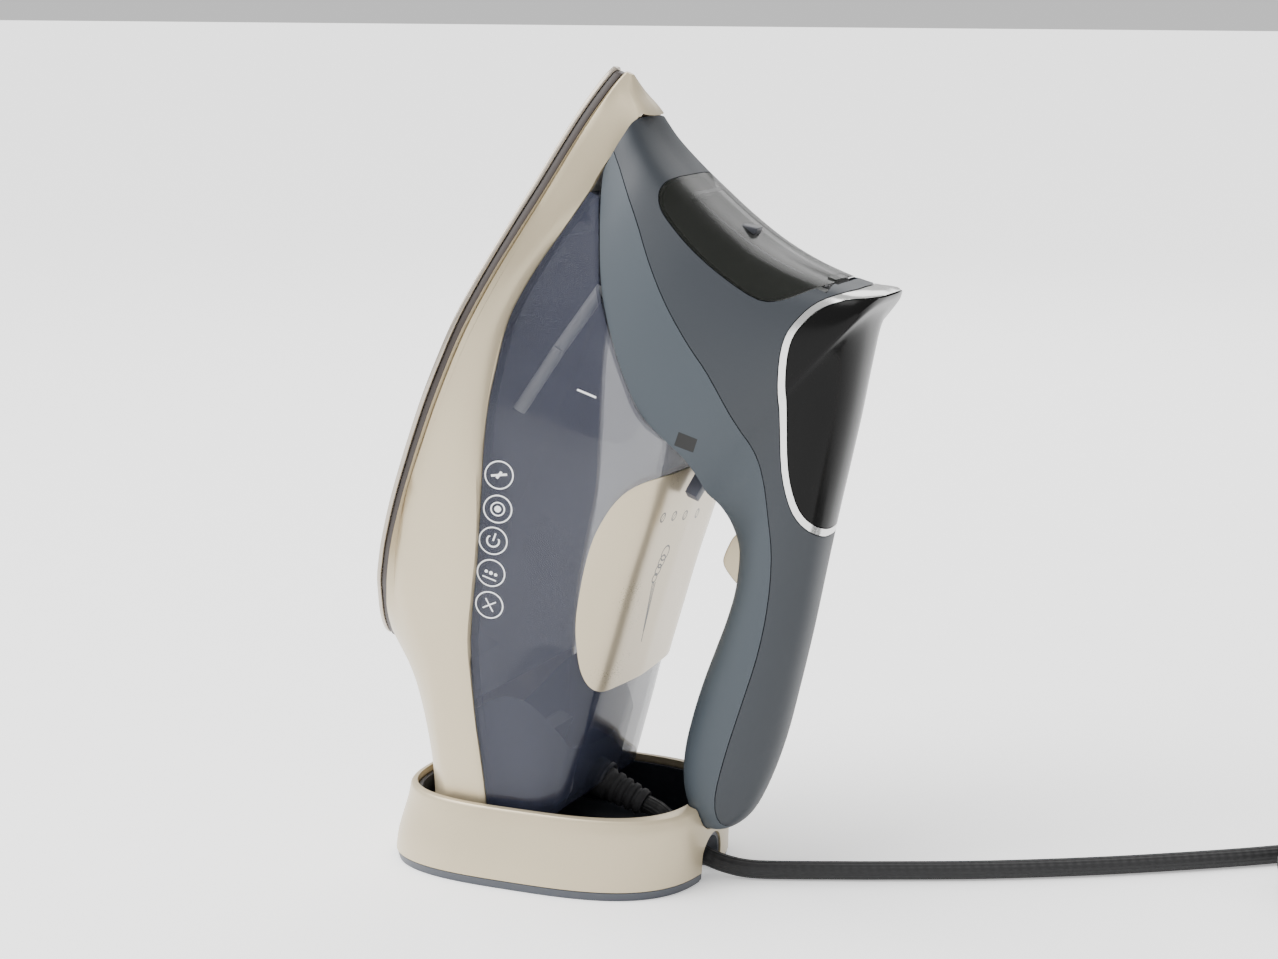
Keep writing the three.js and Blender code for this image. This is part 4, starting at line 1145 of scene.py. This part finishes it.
CARRIED = {
    "display_board": BOARD, "fill_lid_pin": STEEL, "heater_casting": CASTING, "heating_element": STEEL,
    "steam_chamber_cover": CASTING, "thermostat": WHITE, "thermal_fuse": STEEL, "terminal_block": WHITE,
    "trigger_pin": STEEL, "pump_body": WHITE, "pump_plunger": BRASS, "valve_body": DARK,
    "steam_needle": BRASS, "cord_clamp": DARK, "plug_pin_earth": BRASS, "plug_pin_live": BRASS,
    "plug_pin_neutral": BRASS,
}


def carry_over() -> None:
    """Gives the design's own inner pieces their finishes."""
    for name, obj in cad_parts.items():
        finish = CARRIED.get(name)
        if name.startswith("stand_foot"):
            finish = RUBBER
        elif name.startswith("stand_screw"):
            finish = STEEL
        if finish:
            dress(obj, finish)


# ---- studio ----
def aim(obj: Obj, place: Vector, target: Vector) -> None:
    """Stands a camera or light at a place and turns it to the target."""
    turn = (target - place).to_track_quat("-Z", "Y").to_matrix().to_4x4()
    obj.matrix_world = Matrix.Translation(place) @ turn


def camera() -> None:
    """Makes the camera that frames the iron from its near right side."""
    data = bpy.data.cameras.new("camera")
    data.lens, data.sensor_width = 73.2, 36
    obj = bpy.data.objects.new("camera", data)
    bpy.context.scene.collection.objects.link(obj)
    az, el, far, target = math.radians(24), math.radians(11), 0.96, Vector((0.0337, 0, 0.1489))
    away = Vector((math.sin(az) * math.cos(el), -math.cos(az) * math.cos(el), math.sin(el)))
    aim(obj, target + away * far, target)
    bpy.context.scene.camera = obj


def studio() -> None:
    """Makes the pale floor, the white surroundings and the soft lights."""
    rest_all()
    bpy.ops.mesh.primitive_plane_add(size=30)
    floor = bpy.context.active_object
    floor.name = "floor"
    dress(floor, FLOOR)
    world = bpy.data.worlds.new("studio")
    world.use_nodes = True
    world.node_tree.nodes["Background"].inputs["Color"].default_value = (1, 1, 1, 1)
    world.node_tree.nodes["Background"].inputs["Strength"].default_value = 0.75
    bpy.context.scene.world = world
    target = Vector((0.03, 0, 0.14))
    for name, place, size, energy in (
            ("key", (-1.0, -0.9, 1.1), 0.9, 16), ("back", (-0.2, 1.4, 1.2), 1.0, 8)):
        data = bpy.data.lights.new(name, "AREA")
        data.size, data.energy = size, energy
        obj = bpy.data.objects.new(name, data)
        bpy.context.scene.collection.objects.link(obj)
        aim(obj, Vector(place), target)
    sun = bpy.data.lights.new("sky", "SUN")
    sun.energy, sun.angle = 5.0, math.radians(60)
    obj = bpy.data.objects.new("sky", sun)
    bpy.context.scene.collection.objects.link(obj)
    aim(obj, Vector((-0.8, -0.5, 1.9)), target)


def main() -> None:
    """Builds the model and reports each piece."""
    logging.basicConfig(level=logging.INFO, format="%(name)s %(message)s")
    camera()
    for assembly in (Lead(), Foot(), Tub(), Hood(), Controls(), Stand()):
        log.info("building %s", type(assembly).__name__)
        assembly.build()
    carry_over()
    studio()


if __name__ == "__main__":
    main()
